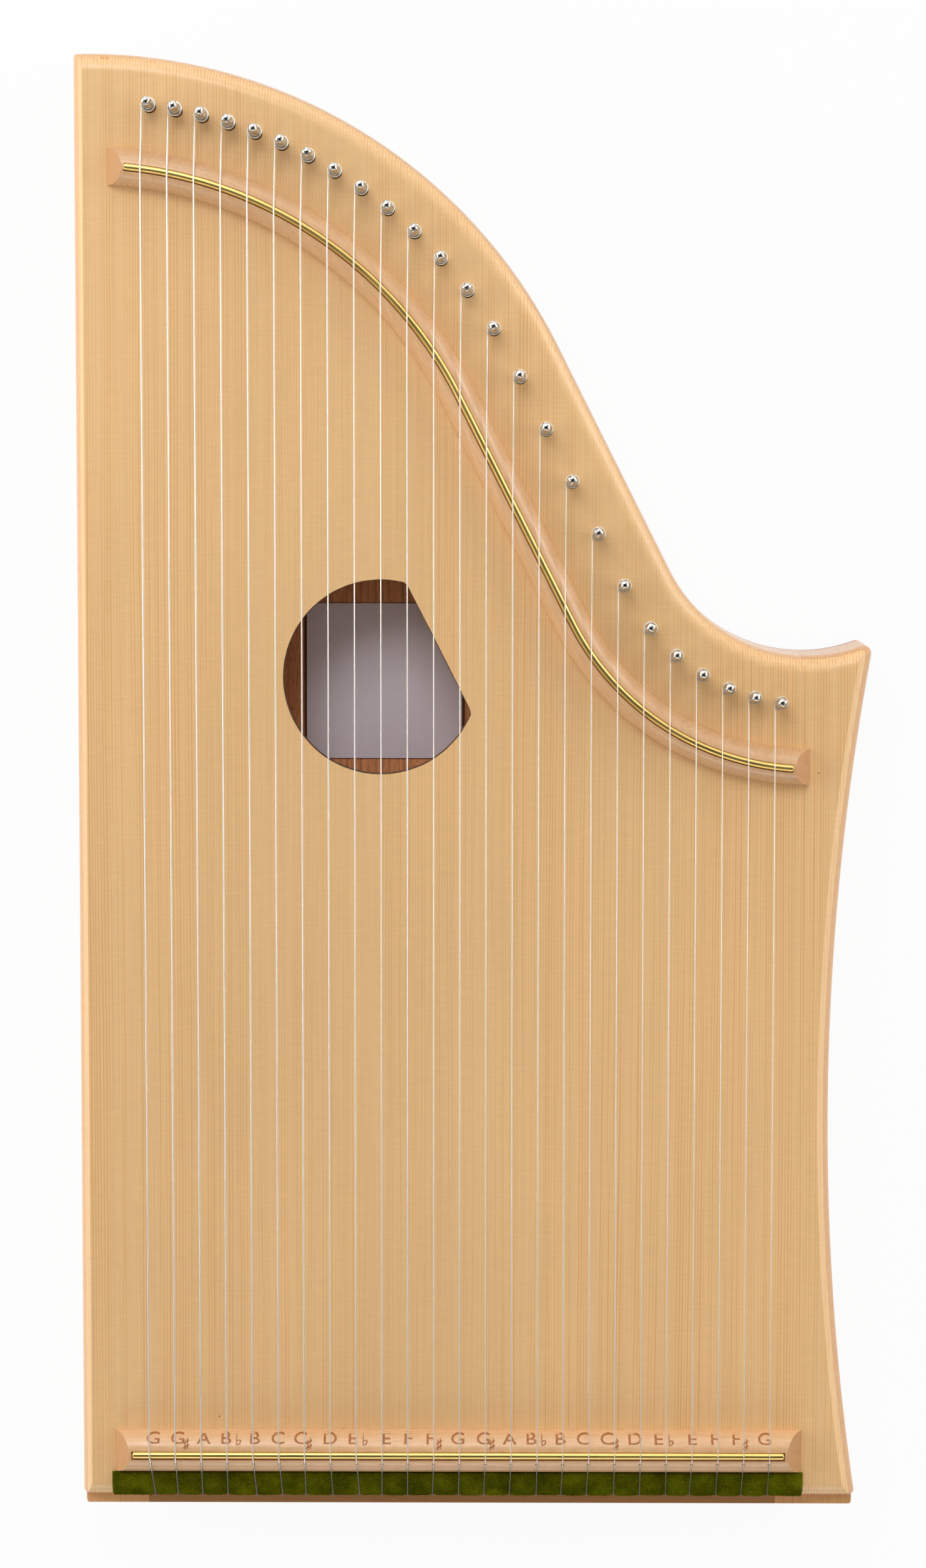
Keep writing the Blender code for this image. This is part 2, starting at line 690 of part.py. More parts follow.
def lean_turn():
    """Turn from upright to the pins' lean."""
    flat = math.sin(PIN_LEAN)
    axis = Vector(
        (
            flat * math.cos(PIN_LEAN_HEADING),
            flat * math.sin(PIN_LEAN_HEADING),
            math.cos(PIN_LEAN),
        )
    )
    return Vector((0.0, 0.0, 1.0)).rotation_difference(axis)


def pin_frame(index):
    """A pin's own frame: origin where its axis meets the soundboard, z along its axis."""
    reach = PIN_RADIUS + WRAP_CLEARANCE + gauge(index) / 2
    turn = lean_turn()
    axis = turn @ Vector((0.0, 0.0, 1.0))
    x = string_x(index) + reach
    at_wrap = Vector((x, edge_y(x, PIN_ROW_INSET), BOARD_TOP + WRAP_HEIGHT * axis.z))
    return Matrix.Translation(at_wrap - axis * WRAP_HEIGHT) @ turn.to_matrix().to_4x4()


def pin_drills():
    """Drills that follow the pins' axes through the soundboard into the pin block."""
    depth = PIN_DEPTH + 2 * GLUE + CUT_MARGIN

    def build(work):
        for index in range(STRING_COUNT):
            middle = Matrix.Translation((0.0, 0.0, CUT_MARGIN - depth / 2))
            radius = PIN_RADIUS + PIN_HOLE_CLEARANCE
            bmesh.ops.create_cone(
                work, cap_ends=True, segments=PIN_SIDES, radius1=radius, radius2=radius,
                depth=depth, matrix=pin_frame(index) @ middle,
            )

    return object_from("pin_drills", build)


def square_ring(diagonal, z):
    """Corners of the pin's square, flats facing x and y."""
    half = diagonal / 2 / math.sqrt(2)
    return [(-half, -half, z), (half, -half, z), (half, half, z), (-half, half, z)]


def pin_mesh():
    """A round shank with a square head that ends in a low pyramid."""

    def shank(work):
        length = PIN_DEPTH + PIN_SHANK
        place = Matrix.Translation((0.0, 0.0, PIN_SHANK - length / 2))
        bmesh.ops.create_cone(
            work, cap_ends=True, segments=PIN_SIDES, radius1=PIN_RADIUS, radius2=PIN_RADIUS,
            depth=length, matrix=place,
        )

    pin = object_from("pin_shank", shank)
    head = loft(
        "pin_head",
        [
            square_ring(PIN_SQUARE_DIAGONAL, PIN_SHANK - PIN_SQUARE_OVERLAP),
            square_ring(PIN_SQUARE_DIAGONAL, PIN_REACH - PIN_TIP_HEIGHT),
            square_ring(PIN_TIP_DIAGONAL, PIN_REACH),
        ],
    )
    bpy.context.scene.collection.objects.link(head)
    boolean(pin, head, "UNION")
    mesh = baked(pin)
    bpy.data.objects.remove(head)
    mesh.name = "tuning_pin"
    return mesh


def make_pins(shop):
    mesh = pin_mesh()
    mesh.shade_smooth()
    mesh.set_sharp_from_angle(angle=math.radians(35))
    for index in range(STRING_COUNT):
        pin = bpy.data.objects.new(f"tuning_pin_{index + 1:02d}", mesh)
        spin = Matrix.Rotation(math.radians(PIN_TURNS[index % len(PIN_TURNS)]), 4, "Z")
        frame = pin_frame(index) @ spin
        pin.location = frame.translation
        pin.rotation_mode = "QUATERNION"
        pin.rotation_quaternion = frame.to_quaternion()
        shop.place(pin, shop.nickel)


def winding(index):
    """Points of the turns on the pin, from the string's arrival upwards."""
    radius = gauge(index) / 2
    reach = PIN_RADIUS + WRAP_CLEARANCE + radius
    climb = gauge(index) + WRAP_GAP
    frame = pin_frame(index)
    count = round(WRAP_TURNS * WRAP_STEPS)
    points = []
    for i in range(count + 1):
        turned = WRAP_TURNS * i / count
        angle = math.pi - 2 * math.pi * turned
        local = (reach * math.cos(angle), reach * math.sin(angle), WRAP_HEIGHT + climb * turned)
        points.append(frame @ Vector(local))
    return points


def string_route(index):
    """The whole string as (point, thickness share) pairs, from its ball end to its last turn."""
    x = string_x_at(index, TAIL_LEDGE)
    radius = gauge(index) / 2
    ball = BALL_RADIUS / radius
    route = [
        ((x, TAIL_LEDGE, BALL_HEIGHT - BALL_LENGTH), ball),
        ((x, TAIL_LEDGE, BALL_HEIGHT - BALL_RADIUS / 3), ball),
        ((x, TAIL_LEDGE, BALL_HEIGHT), 1.0),
    ]
    fall = fall_angle(radius)
    felt_reach = EDGE_RADIUS + GLUE + FELT_THICKNESS + GLUE + radius
    felt_y, felt_z = TAIL_LEDGE + EDGE_RADIUS, BODY_DEPTH - EDGE_RADIUS
    over_felt = []
    for angle in (STRING_FALL, (STRING_FALL + fall) / 2, fall):
        y = felt_y - felt_reach * math.sin(angle)
        z = felt_z + felt_reach * math.cos(angle)
        over_felt.append(((string_x_at(index, y), y, z), 1.0))
    mouth = over_felt[0][0][2] - FELT_THICKNESS
    route.append(((x, TAIL_LEDGE, mouth), 1.0))
    route += over_felt
    rod_reach = ROD_RADIUS + GLUE + radius
    for angle in (fall, fall / 2, 0.0):
        y = LOWER_BRIDGE_Y - rod_reach * math.sin(angle)
        z = ROD_Z + rod_reach * math.cos(angle)
        route.append(((string_x_at(index, y), y, z), 1.0))
    x = string_x(index)
    route.append(((x, edge_y(x, UPPER_BRIDGE_INSET), ROD_Z + rod_reach), 1.0))
    return route + [(tuple(point), 1.0) for point in winding(index)]


def least_gap(route, index):
    """Least gap of a string to itself, between pieces of its middle line well apart along it."""
    points = [Vector(point) for point, share in route]
    fine = []
    for start, end in zip(points, points[1:]):
        pieces = max(1, round((end - start).length / gauge(index)))
        pieces = min(pieces, 2 * WRAP_STEPS)
        fine += [start.lerp(end, i / pieces) for i in range(pieces)]
    fine.append(points[-1])
    lengths = [0.0]
    for start, end in zip(fine, fine[1:]):
        lengths.append(lengths[-1] + (end - start).length)
    apart = PIN_DIAMETER
    gaps = [
        (fine[i] - fine[j]).length
        for i in range(len(fine))
        for j in range(i)
        if lengths[i] - lengths[j] > apart
    ]
    return min(gaps) - gauge(index)


def make_strings(shop):
    """Each string is one tube: ball end, way over felt and both rods, and its turns on the pin."""
    gaps = []
    for index in range(STRING_COUNT):
        name = f"string_{index + 1:02d}"
        route = string_route(index)
        gaps.append(least_gap(route, index))
        curve = bpy.data.curves.new(name, "CURVE")
        curve.dimensions = "3D"
        curve.bevel_depth = gauge(index) / 2
        curve.bevel_resolution = STRING_RESOLUTION
        curve.use_fill_caps = True
        spline = curve.splines.new("POLY")
        spline.points.add(len(route) - 1)
        for point, (place, share) in zip(spline.points, route):
            point.co = (*place, 1.0)
            point.radius = share
        shop.place(bpy.data.objects.new(name, curve), shop.wire)
    print(f"least gap of a string's turns to itself: {min(gaps) * 1000:.2f} mm")


def main():
    shop = Shop()
    drills = shop.keep_cutter(pin_drills())
    make_soundboard(shop, drills)
    make_back_board(shop)
    make_side_frame(shop)
    make_pin_block(shop, drills)
    make_brace(shop)
    make_upper_bridge(shop)
    make_lower_bridge(shop)
    make_felt_strip(shop)
    make_pins(shop)
    make_strings(shop)


main()
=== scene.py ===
"""Table harp of 25 strings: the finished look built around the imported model.

Plan positions are bench positions, as in the CAD: x from the straight left edge, y from the tail
ledge's outer face, z from the table. Each finished mesh is moved by CORNER into the model's frame.
"""

import math
import random

import bmesh
import bpy
from mathutils import Matrix, Vector, noise


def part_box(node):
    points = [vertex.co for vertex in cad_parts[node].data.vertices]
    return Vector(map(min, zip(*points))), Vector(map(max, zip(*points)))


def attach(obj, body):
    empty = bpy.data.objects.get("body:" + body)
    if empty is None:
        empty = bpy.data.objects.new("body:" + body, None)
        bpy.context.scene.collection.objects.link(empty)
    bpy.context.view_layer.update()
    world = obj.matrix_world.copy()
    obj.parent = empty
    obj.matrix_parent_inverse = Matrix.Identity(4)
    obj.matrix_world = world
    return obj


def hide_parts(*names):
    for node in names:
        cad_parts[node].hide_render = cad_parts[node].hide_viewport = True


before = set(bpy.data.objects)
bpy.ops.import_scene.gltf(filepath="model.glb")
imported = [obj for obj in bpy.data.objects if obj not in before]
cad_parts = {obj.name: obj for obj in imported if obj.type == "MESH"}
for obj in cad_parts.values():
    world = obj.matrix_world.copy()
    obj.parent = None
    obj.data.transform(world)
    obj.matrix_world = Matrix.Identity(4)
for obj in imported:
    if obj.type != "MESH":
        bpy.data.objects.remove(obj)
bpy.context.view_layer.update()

bl_info = {
    "name": "Table Harp",
    "version": (1, 0, 0),
    "blender": (4, 5, 0),
    "location": "View3D > Sidebar > Harp",
    "description": "Builds a chromatic table harp piece by piece around its packed model",
    "category": "Add Mesh",
}

# Where the strings run
STRING_COUNT = 25
FIRST_STRING_X = 0.0301
STRING_PITCH = 0.0115
LAST_STRING_X = FIRST_STRING_X + (STRING_COUNT - 1) * STRING_PITCH

# Body plan
BODY_LENGTH = 0.644
RIGHT_MARGIN = 0.0266
WAIST_HEIGHT = 0.1856
SIDE_RADIUS = 1.175
CROWN_INSET = 0.007
STRAIGHT_FALL = math.radians(63.15)
SCOOP_RADIUS = 0.068
SCOOP_PAST_STRINGS = 0.0151
SCOOP_HEIGHT = 0.3832
CROWN_CORNER = 0.0015
HORN_CORNER = 0.0035
TAIL_CORNER = 0.002
TAIL_LEDGE = 0.005
LEAST_CORNER = 0.0002
SIDE_EASE_POWER = 1.3
PIN_BLOCK_FOOT = 0.321

# Body section
BODY_DEPTH = 0.045
BOARD_THICKNESS = 0.0035
BACK_THICKNESS = 0.004
EDGE_RADIUS = 0.008
BACK_EDGE = 0.0015
LEDGE_DROP = 0.009
LEDGE_END_STEP = 0.001
LEDGE_CORNER = 0.0012
GLUE_LINE = 0.00004

# Frame bars and pin block
LEFT_BAR = 0.029
RIGHT_SEAM_AT_TAIL = 0.0048
RIGHT_SEAM_AT_SCOOP = 0.0124
TAIL_BLOCK = 0.030
PIN_BLOCK_WIDTH = 0.062

# Sound hole and what is seen through it
HOLE_RADIUS = 0.0425
HOLE_FLAT_INSET = 0.106
HOLE_FLAT_DEPTH = 0.0284
HOLE_ALONG = 0.0945
HOLE_EASE = 0.0004
HOLE_CORNER_TURN = 0.022
HOLE_CORNER_CUT = 0.0016
HOLE_WOBBLE = 0.00012
LABEL_CENTRE = (0.1344, 0.3691)
LABEL_SIZE = (0.0697, 0.0702)
LABEL_CARD_MARGIN = 0.0011
SHEET_THICKNESS = 0.0003

# Bridges and their rods
BRIDGE_HEIGHT = 0.010
BRIDGE_LIFT = 0.00005
UPPER_BRIDGE_INSET = 0.0486
UPPER_BRIDGE_WIDTH = 0.016
UPPER_BRIDGE_ENDS = (FIRST_STRING_X - 0.0152, LAST_STRING_X + 0.0163)
LOWER_BRIDGE_Y = 0.0269
LOWER_BRIDGE_WIDTH = 0.0191
LOWER_BRIDGE_ENDS = (FIRST_STRING_X - 0.0154, LAST_STRING_X + 0.0158)
BRIDGE_END_RUN = 0.007
SLOT_END_STEP = 0.001
ROD_RADIUS = 0.0015
ROD_SINK = 0.0003
ROD_END_GAPS = (0.0004, 0.001)
ROD_FIT = 0.0001
SLOT_SLACKS = (0.0003, 0.0007)
NOTCH_WIDTH = 0.0018
NOTCH_DEPTH = 0.0017
NOTCH_LENGTH = 0.0056
NOTCH_BEHIND_ROD = 0.0042

# Felt
FELT_THICKNESS = 0.0016
FELT_WRAP = math.radians(50)
FELT_PAST_BRIDGE = 0.0013
FELT_LIFT = 0.0001
NAP_FIBRES = 2600

# Strings
GAUGES = (0.0008, 0.00045)
WIRE_SHARE = 0.85
STRING_FALL = math.radians(41)
BALL_RADIUS = 0.0015
BALL_LENGTH = 0.0026
BALL_HEIGHT = 0.0112
CAD_GAP = 0.0003
# How much further right each string stands at the lower rod than at the upper one
STRING_LEAN = 0.0008
# And how much further still, in mm, at its hole in the tail's ledge
TAIL_SHIFTS = (
    2.1, 0.6, 0.0, -0.2, 1.4, 1.5, 0.3, 0.9, 1.4, -0.3, -0.3, -0.6, -0.5,
    -0.7, -0.8, -0.2, -0.7, -0.8, 0.0, 0.1, 0.2, -0.6, -0.3, -0.5, -0.2,
)

# Tuning pins
PIN_RADIUS = 0.0025
PIN_DEPTH = 0.027
PIN_REACH = 0.0172
PIN_ROW_INSET = 0.021
PIN_LEAN = math.radians(5.8)
PIN_LEAN_HEADING = math.radians(107)
PIN_HOLE_RADIUS = 0.0029
WRAP_HEIGHT = 0.0045
WRAP_TURNS = 2.25
WRAP_GAP = 0.0007
WRAP_CLEARANCE = 0.0003
WRAP_TOUCH = 0.00003
# How far each pin is turned at rest, in degrees
PIN_TURNS = (
    -25, 18, -5, -29, 2, -20, -40, -3, -1, -18, 33, 16, -34,
    24, -10, -9, 30, 34, 0, -25, -8, -3, -24, -12, -28,
)
# Which way each cut wire end points out of its pin, in degrees from +x
WIRE_END_TURNS = (
    -10, 108, 85, -29, 20, 70, -30, -90, 30, 0, 123, -65, 56,
    -50, -90, 170, 120, 124, -80, -105, -85, 87, 95, 78, 62,
)
WIRE_END_REACH = 0.0004
WIRE_END_LIFT = 0.00045
WIRE_END_SLOPE = 0.12
WIRE_END_SHARE = 0.8
# Square part of a pin from its flats' foot upwards: half width, corner radius and height
HEAD_SECTIONS = (
    (0.00205, 0.00150, 0.0091),
    (0.00188, 0.00075, 0.0102),
    (0.00184, 0.00055, 0.0118),
    (0.00177, 0.00055, PIN_REACH - 0.0015),
)
DOME_HALF_WIDTH = 0.00172
DOME_HEIGHT = 0.0013

# Note names on the lower bridge, low to high, and how far right of its string each one stands
NOTES = ("G", "G#", "A", "Bb", "B", "C", "C#", "D", "Eb", "E", "F", "F#") * 2 + ("G",)
NOTE_SHIFTS = (
    2.2, 1.6, 1.75, 0.3, 1.65, 0.35, -1.1, 0.65, -0.75, 2.8, 0.9, -0.7, 0.0,
    -0.15, 0.1, -1.65, -0.15, -1.6, -2.45, -1.45, -2.4, 1.2, -0.35, -2.25, -1.25,
)
# Reach in y, size in x and added stroke width of the letters; the signs stand aside of them
LETTER = ((0.0318, 0.0360), 0.0092, 0.006)
SIGNS = {
    "#": ("♯", 0.0039, (0.0293, 0.0341), 0.0050, 0.026),
    "b": ("♭", 0.0055, (0.0311, 0.0359), 0.0085, 0.008),
}
LETTER_PROUD = 0.00004

# The picture that the camera frames
PICTURE = (1484, 2513)
FOCAL_PIXELS = 6300.0
CAMERA_PLACE = (0.16976, 0.50105, 1.7663)
CAMERA_TILT = math.radians(-5.785)
CAMERA_ROLL = math.radians(0.13)
FLOOR_HALF_WIDTH = 6.0
FLOOR_GLOW = 0.94
# Softboxes: name, place, width and height, and watts
LAMPS = (
    ("key_softbox", (-0.5, 1.5, 1.75), (1.3, 1.0), 18.0),
    ("left_softbox", (-1.7, 0.3, 0.55), (2.0, 0.8), 20.0),
    ("right_softbox", (1.7, 0.4, 0.55), (2.0, 0.8), 16.0),
    ("far_softbox", (0.2, 3.2, 0.9), (3.2, 1.1), 18.0),
    ("near_softbox", (0.0, -2.2, 0.8), (2.4, 0.7), 12.0),
)

BOARD_TOP = BODY_DEPTH
BOARD_UNDERSIDE = BODY_DEPTH - BOARD_THICKNESS
ROUND_BASE = BODY_DEPTH - EDGE_RADIUS
FRAME_TOP = BOARD_UNDERSIDE - GLUE_LINE
FRAME_BOTTOM = BACK_THICKNESS + GLUE_LINE
LEDGE_TOP = BODY_DEPTH - LEDGE_DROP
STRAIGHT_NORMAL = math.pi / 2 - STRAIGHT_FALL
OUTWARDS = Vector((math.cos(STRAIGHT_NORMAL), math.sin(STRAIGHT_NORMAL)))
DOWNHILL = Vector((OUTWARDS.y, -OUTWARDS.x))
CROWN_TOP = Vector((CROWN_INSET, BODY_LENGTH))
SCOOP = Vector((LAST_STRING_X + SCOOP_PAST_STRINGS, SCOOP_HEIGHT + SCOOP_RADIUS))
CROWN_RADIUS = (OUTWARDS.dot(SCOOP - CROWN_TOP) - SCOOP_RADIUS) / (1 - OUTWARDS.y)
CROWN = CROWN_TOP - Vector((0.0, CROWN_RADIUS))
SIDE = Vector((LAST_STRING_X + RIGHT_MARGIN + SIDE_RADIUS, WAIST_HEIGHT))
ROD_Z = BOARD_TOP + BRIDGE_HEIGHT - ROD_SINK
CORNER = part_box("back_board")[0]


def linear(code):
    """An sRGB hex colour as linear red, green and blue."""
    parts = [int(code[i : i + 2], 16) / 255 for i in (1, 3, 5)]
    return tuple(p / 12.92 if p <= 0.04045 else ((p + 0.055) / 1.055) ** 2.4 for p in parts)


def colour_property(name, description, code):
    return bpy.props.FloatVectorProperty(
        name=name, description=description, default=linear(code),
        subtype="COLOR", size=3, min=0.0, max=1.0,
    )


def length_property(name, description, default):
    return bpy.props.FloatProperty(
        name=name, description=description, default=default, unit="LENGTH", min=0.0,
    )


class HarpSizes(bpy.types.PropertyGroup):
    left_round: length_property(
        "Left edge", "Width of the easing along the straight left edge", 0.0043
    )
    right_round: length_property(
        "Right edge", "Width of the easing along the bowed right edge", 0.0055
    )
    ring_width: length_property("Spruce rings", "Year ring width of the soundboard", 0.0013)
    felt_nap: length_property("Felt nap", "Length of the loose fibres on the felt", 0.0008)
    letter_depth: length_property("Letters", "Depth of the burnt note names", 0.00012)


class HarpFinishes(bpy.types.PropertyGroup):
    spruce_pale: colour_property("Spruce", "Pale wood between the year rings", "#F1C78F")
    spruce_dark: colour_property("Spruce rings", "Dark line of each year ring", "#E09C52")
    beech_pale: colour_property("Beech", "Ground colour of the frame and bridges", "#E2B484")
    beech_dark: colour_property("Beech pores", "Dark flecks in the beech", "#B98557")
    # Mahogany ground colour, lifted above the wood's own colour as painted light for the dim inside
    # of the body
    back_pale_painted_light: colour_property("Mahogany", "Ground colour of the back board", "#ECA26C")
    back_dark: colour_property("Mahogany pores", "Dark lines of the back board", "#8A5030")
    brass: colour_property("Brass", "Drawn brass of the bridge rods", "#F6D27E")
    nickel: colour_property("Nickel", "Plating of the tuning pins", "#D9D4CC")
    wire: colour_property("Wire", "Tinned music wire", "#E8E4DC")
    felt: colour_property("Felt", "Wool felt at the tail", "#484B06")
    paper: colour_property("Paper", "Bare label inside the body", "#EDE4EE")
    letters: colour_property("Letters", "Burnt note names", "#A86A3C")
    floor: colour_property("Floor", "Studio floor", "#F2F2F2")


def sizes():
    return bpy.context.scene.harp_sizes


def finishes():
    return bpy.context.scene.harp_finishes


# ---- Plan and section ----


def arc(centre, radius, start, end, steps):
    """Points on an arc from one angle to another, both ends included."""
    turns = [start + (end - start) * i / steps for i in range(steps + 1)]
    return [(centre[0] + radius * math.cos(t), centre[1] + radius * math.sin(t)) for t in turns]


def edge_y(x, inset):
    """Height of the curved top edge, moved inwards by inset, at x."""
    crown_end = CROWN.x + (CROWN_RADIUS - inset) * OUTWARDS.x
    scoop_start = SCOOP.x - (SCOOP_RADIUS + inset) * OUTWARDS.x
    if x < crown_end:
        return CROWN.y + math.sqrt((CROWN_RADIUS - inset) ** 2 - (x - CROWN.x) ** 2)
    if x > scoop_start:
        return SCOOP.y - math.sqrt((SCOOP_RADIUS + inset) ** 2 - (x - SCOOP.x) ** 2)
    crown_y = CROWN.y + (CROWN_RADIUS - inset) * OUTWARDS.y
    return crown_y - (x - crown_end) / math.tan(STRAIGHT_NORMAL)


def edge_path(inset, left, right, steps=36):
    """Points along the curved top edge, moved inwards by inset, from x = left to x = right."""
    crown_radius = CROWN_RADIUS - inset
    scoop_radius = SCOOP_RADIUS + inset
    start = math.acos((left - CROWN.x) / crown_radius)
    end = -math.acos((right - SCOOP.x) / scoop_radius)
    crown = arc(CROWN, crown_radius, start, STRAIGHT_NORMAL, steps)
    scoop = arc(SCOOP, scoop_radius, STRAIGHT_NORMAL - math.pi, end, steps)
    middle = [
        tuple(Vector(crown[-1]).lerp(Vector(scoop[0]), i / 8)) for i in range(1, 8)
    ]
    return crown + middle + scoop


def meeting_point(first, first_reach, second, second_reach):
    """The point at both reaches, on the left of the way from first to second."""
    across = second - first
    along = (across.length_squared + first_reach**2 - second_reach**2) / (2 * across.length)
    aside = math.sqrt(first_reach**2 - along**2)
    way = across.normalized()
    return first + way * along + Vector((-way.y, way.x)) * aside


def outline(rise, tail, extra=0.0, ledge=None):
    """The body's plan at a height above the rounding's foot, anticlockwise from the tail's left.

    The crown and tail come in on a quarter round; the two long sides come in less and end in a
    crisp line, as they were eased by hand. Where ledge is a width, the ledge is part of the plan
    and comes in by that width.
    """
    share = max(rise, 0.0) / EDGE_RADIUS
    inset = extra + EDGE_RADIUS * (1 - math.sqrt(max(1 - share**2, 0.0)))
    left = extra + sizes().left_round * share**SIDE_EASE_POWER
    right = extra + sizes().right_round * share**SIDE_EASE_POWER
    tail_y = tail + inset
    size = max(TAIL_CORNER - inset, LEAST_CORNER)
    reach = SIDE_RADIUS + right + size
    low_y = tail_y + size
    low_x = SIDE.x - math.sqrt(reach**2 - (low_y - SIDE.y) ** 2)
    low_turn = math.atan2(SIDE.y - low_y, SIDE.x - low_x)
    sweep = math.pi / 2 if ledge is None else math.acos(1 - LEDGE_END_STEP / size)
    points = arc((left + size, tail_y + size), size, math.pi, math.pi + sweep, 6)
    if ledge is None:
        start, span = left + size, low_x - left - size
        points += [(start + span * i / 15, tail_y) for i in range(1, 15)]
    else:
        foot, step = LEDGE_CORNER, LEDGE_END_STEP + ledge
        right_end = low_x + size - step - foot
        points += arc((step + foot, foot + ledge), foot, math.pi, 1.5 * math.pi, 6)
        points += arc((right_end, foot + ledge), foot, -math.pi / 2, 0.0, 6)
    points += arc((low_x, low_y), size, -sweep, low_turn, 6)
    size = max(HORN_CORNER - inset, LEAST_CORNER)
    horn = meeting_point(SIDE, SIDE_RADIUS + right + size, SCOOP, SCOOP_RADIUS + inset + size)
    side_turn = math.atan2(SIDE.y - horn.y, SIDE.x - horn.x)
    scoop_turn = math.atan2(SCOOP.y - horn.y, SCOOP.x - horn.x)
    points += arc(SIDE, SIDE_RADIUS + right, math.pi + low_turn, math.pi + side_turn, 40)[1:-1]
    points += arc(horn, size, side_turn, scoop_turn, 10)
    points += arc(
        SCOOP, SCOOP_RADIUS + inset, scoop_turn - math.pi, STRAIGHT_NORMAL - math.pi, 40
    )[1:]
    size = max(CROWN_CORNER - inset, LEAST_CORNER)
    corner_x = left + size
    reach = CROWN_RADIUS - inset - size
    corner_y = CROWN.y + math.sqrt(reach**2 - (corner_x - CROWN.x) ** 2)
    crown_turn = math.atan2(corner_y - CROWN.y, corner_x - CROWN.x)
    points += arc(CROWN, CROWN_RADIUS - inset, STRAIGHT_NORMAL, crown_turn, 60)[:-1]
    points += arc((corner_x, corner_y), size, crown_turn, math.pi, 6)
    return points


def round_levels(bottom, top, steps):
    """Heights above the rounding's foot from bottom to top, evenly turned."""
    start = math.asin((bottom - ROUND_BASE) / EDGE_RADIUS)
    end = math.asin(min((top - ROUND_BASE) / EDGE_RADIUS, 1.0))
    return [EDGE_RADIUS * math.sin(start + (end - start) * i / steps) for i in range(steps + 1)]


def right_seam_x(y):
    """The right bar's inner face at y; the bar tapers upwards."""
    slant = (RIGHT_SEAM_AT_SCOOP - RIGHT_SEAM_AT_TAIL) / SCOOP_HEIGHT
    return LAST_STRING_X + RIGHT_SEAM_AT_TAIL + slant * y


def string_x(index):
    return FIRST_STRING_X + index * STRING_PITCH


def string_x_at(index, y):
    """A string's x at y, from the lower rod aside to its hole in the ledge."""
    behind = max(LOWER_BRIDGE_Y - y, 0.0) / (LOWER_BRIDGE_Y - TAIL_LEDGE)
    return string_x(index) + STRING_LEAN + TAIL_SHIFTS[index] / 1000 * behind


def gauge(index):
    return GAUGES[0] + (GAUGES[1] - GAUGES[0]) * index / (STRING_COUNT - 1)


def wire_radius(index):
    """The bare wire's radius; the CAD strings are a little thicker."""
    return gauge(index) / 2 * WIRE_SHARE


# ---- Mesh building ----


def at_height(points, z):
    return [(x, y, z) for x, y in points]


def add_ring(work, points):
    """A closed ring of edges through the points."""
    corners = [work.verts.new(point) for point in points]
    count = len(corners)
    return [work.edges.new((corners[i], corners[(i + 1) % count])) for i in range(count)]


def add_skin(work, rings, caps=True):
    """Skin bridged over rings of points; returns the rings' edges and the new faces."""
    loops = [add_ring(work, ring) for ring in rings]
    faces = []
    for below, above in zip(loops, loops[1:]):
        faces += bmesh.ops.bridge_loops(work, edges=below + above)["faces"]
    if caps:
        for end in (loops[0], loops[-1]):
            bmesh.ops.contextual_create(work, geom=end)
    return loops, faces


def mesh_from(name, build, offset=None):
    """A mesh of what the build function leaves in a bmesh, moved from the bench to the frame."""
    work = bmesh.new()
    build(work)
    bmesh.ops.recalc_face_normals(work, faces=work.faces)
    bmesh.ops.translate(work, verts=work.verts, vec=CORNER if offset is None else offset)
    mesh = bpy.data.meshes.new(name)
    work.to_mesh(mesh)
    work.free()
    return mesh


def finished(name, mesh, materials, body="body", replaces=(), sharp=30):
    """Puts a finished mesh in the harp as a piece that rides on a body."""
    mesh.name = name
    for entry in materials:
        mesh.materials.append(entry)
    mesh.shade_smooth()
    mesh.set_sharp_from_angle(angle=math.radians(sharp))
    piece = bpy.data.objects.new(name, mesh)
    bpy.context.scene.collection.objects.link(piece)
    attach(piece, body)
    if replaces:
        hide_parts(*replaces)
    return piece


def carved(mesh, cutters):
    """The mesh with the cutters' space taken out of it."""
    scene = bpy.context.scene.collection
    block = bpy.data.objects.new("block", mesh)
    scene.objects.link(block)
    tools = []
    for cutter in cutters:
        tool = bpy.data.objects.new(cutter.name, cutter)
        scene.objects.link(tool)
        tools.append(tool)
        step = block.modifiers.new(cutter.name, "BOOLEAN")
        step.operation = "DIFFERENCE"
        step.object = tool
        step.solver = "EXACT"
    graph = bpy.context.evaluated_depsgraph_get()
    result = bpy.data.meshes.new_from_object(block.evaluated_get(graph))
    for obj in [block] + tools:
        bpy.data.objects.remove(obj)
    return result


def mesh_of(name, curve):
    """The mesh that a curve or a text makes."""
    holder = bpy.data.objects.new(name, curve)
    bpy.context.scene.collection.objects.link(holder)
    graph = bpy.context.evaluated_depsgraph_get()
    mesh = bpy.data.meshes.new_from_object(holder.evaluated_get(graph))
    bpy.data.objects.remove(holder)
    return mesh


def wire_mesh(name, route, radius, sides):
    """A round wire along (point, thickness share) pairs, given on the bench."""
    curve = bpy.data.curves.new(name, "CURVE")
    curve.dimensions = "3D"
    curve.bevel_depth = radius
    curve.bevel_resolution = sides // 2 - 2
    curve.use_fill_caps = True
    spline = curve.splines.new("POLY")
    spline.points.add(len(route) - 1)
    for point, (place, share) in zip(spline.points, route):
        point.co = (*(Vector(place) + CORNER), 1.0)
        point.radius = share
    mesh = mesh_of(name, curve)
    work = bmesh.new()
    work.from_mesh(mesh)
    bmesh.ops.remove_doubles(work, verts=work.verts, dist=0.0000005)
    bmesh.ops.recalc_face_normals(work, faces=work.faces)
    work.to_mesh(mesh)
    work.free()
    return mesh


# ---- Materials ----


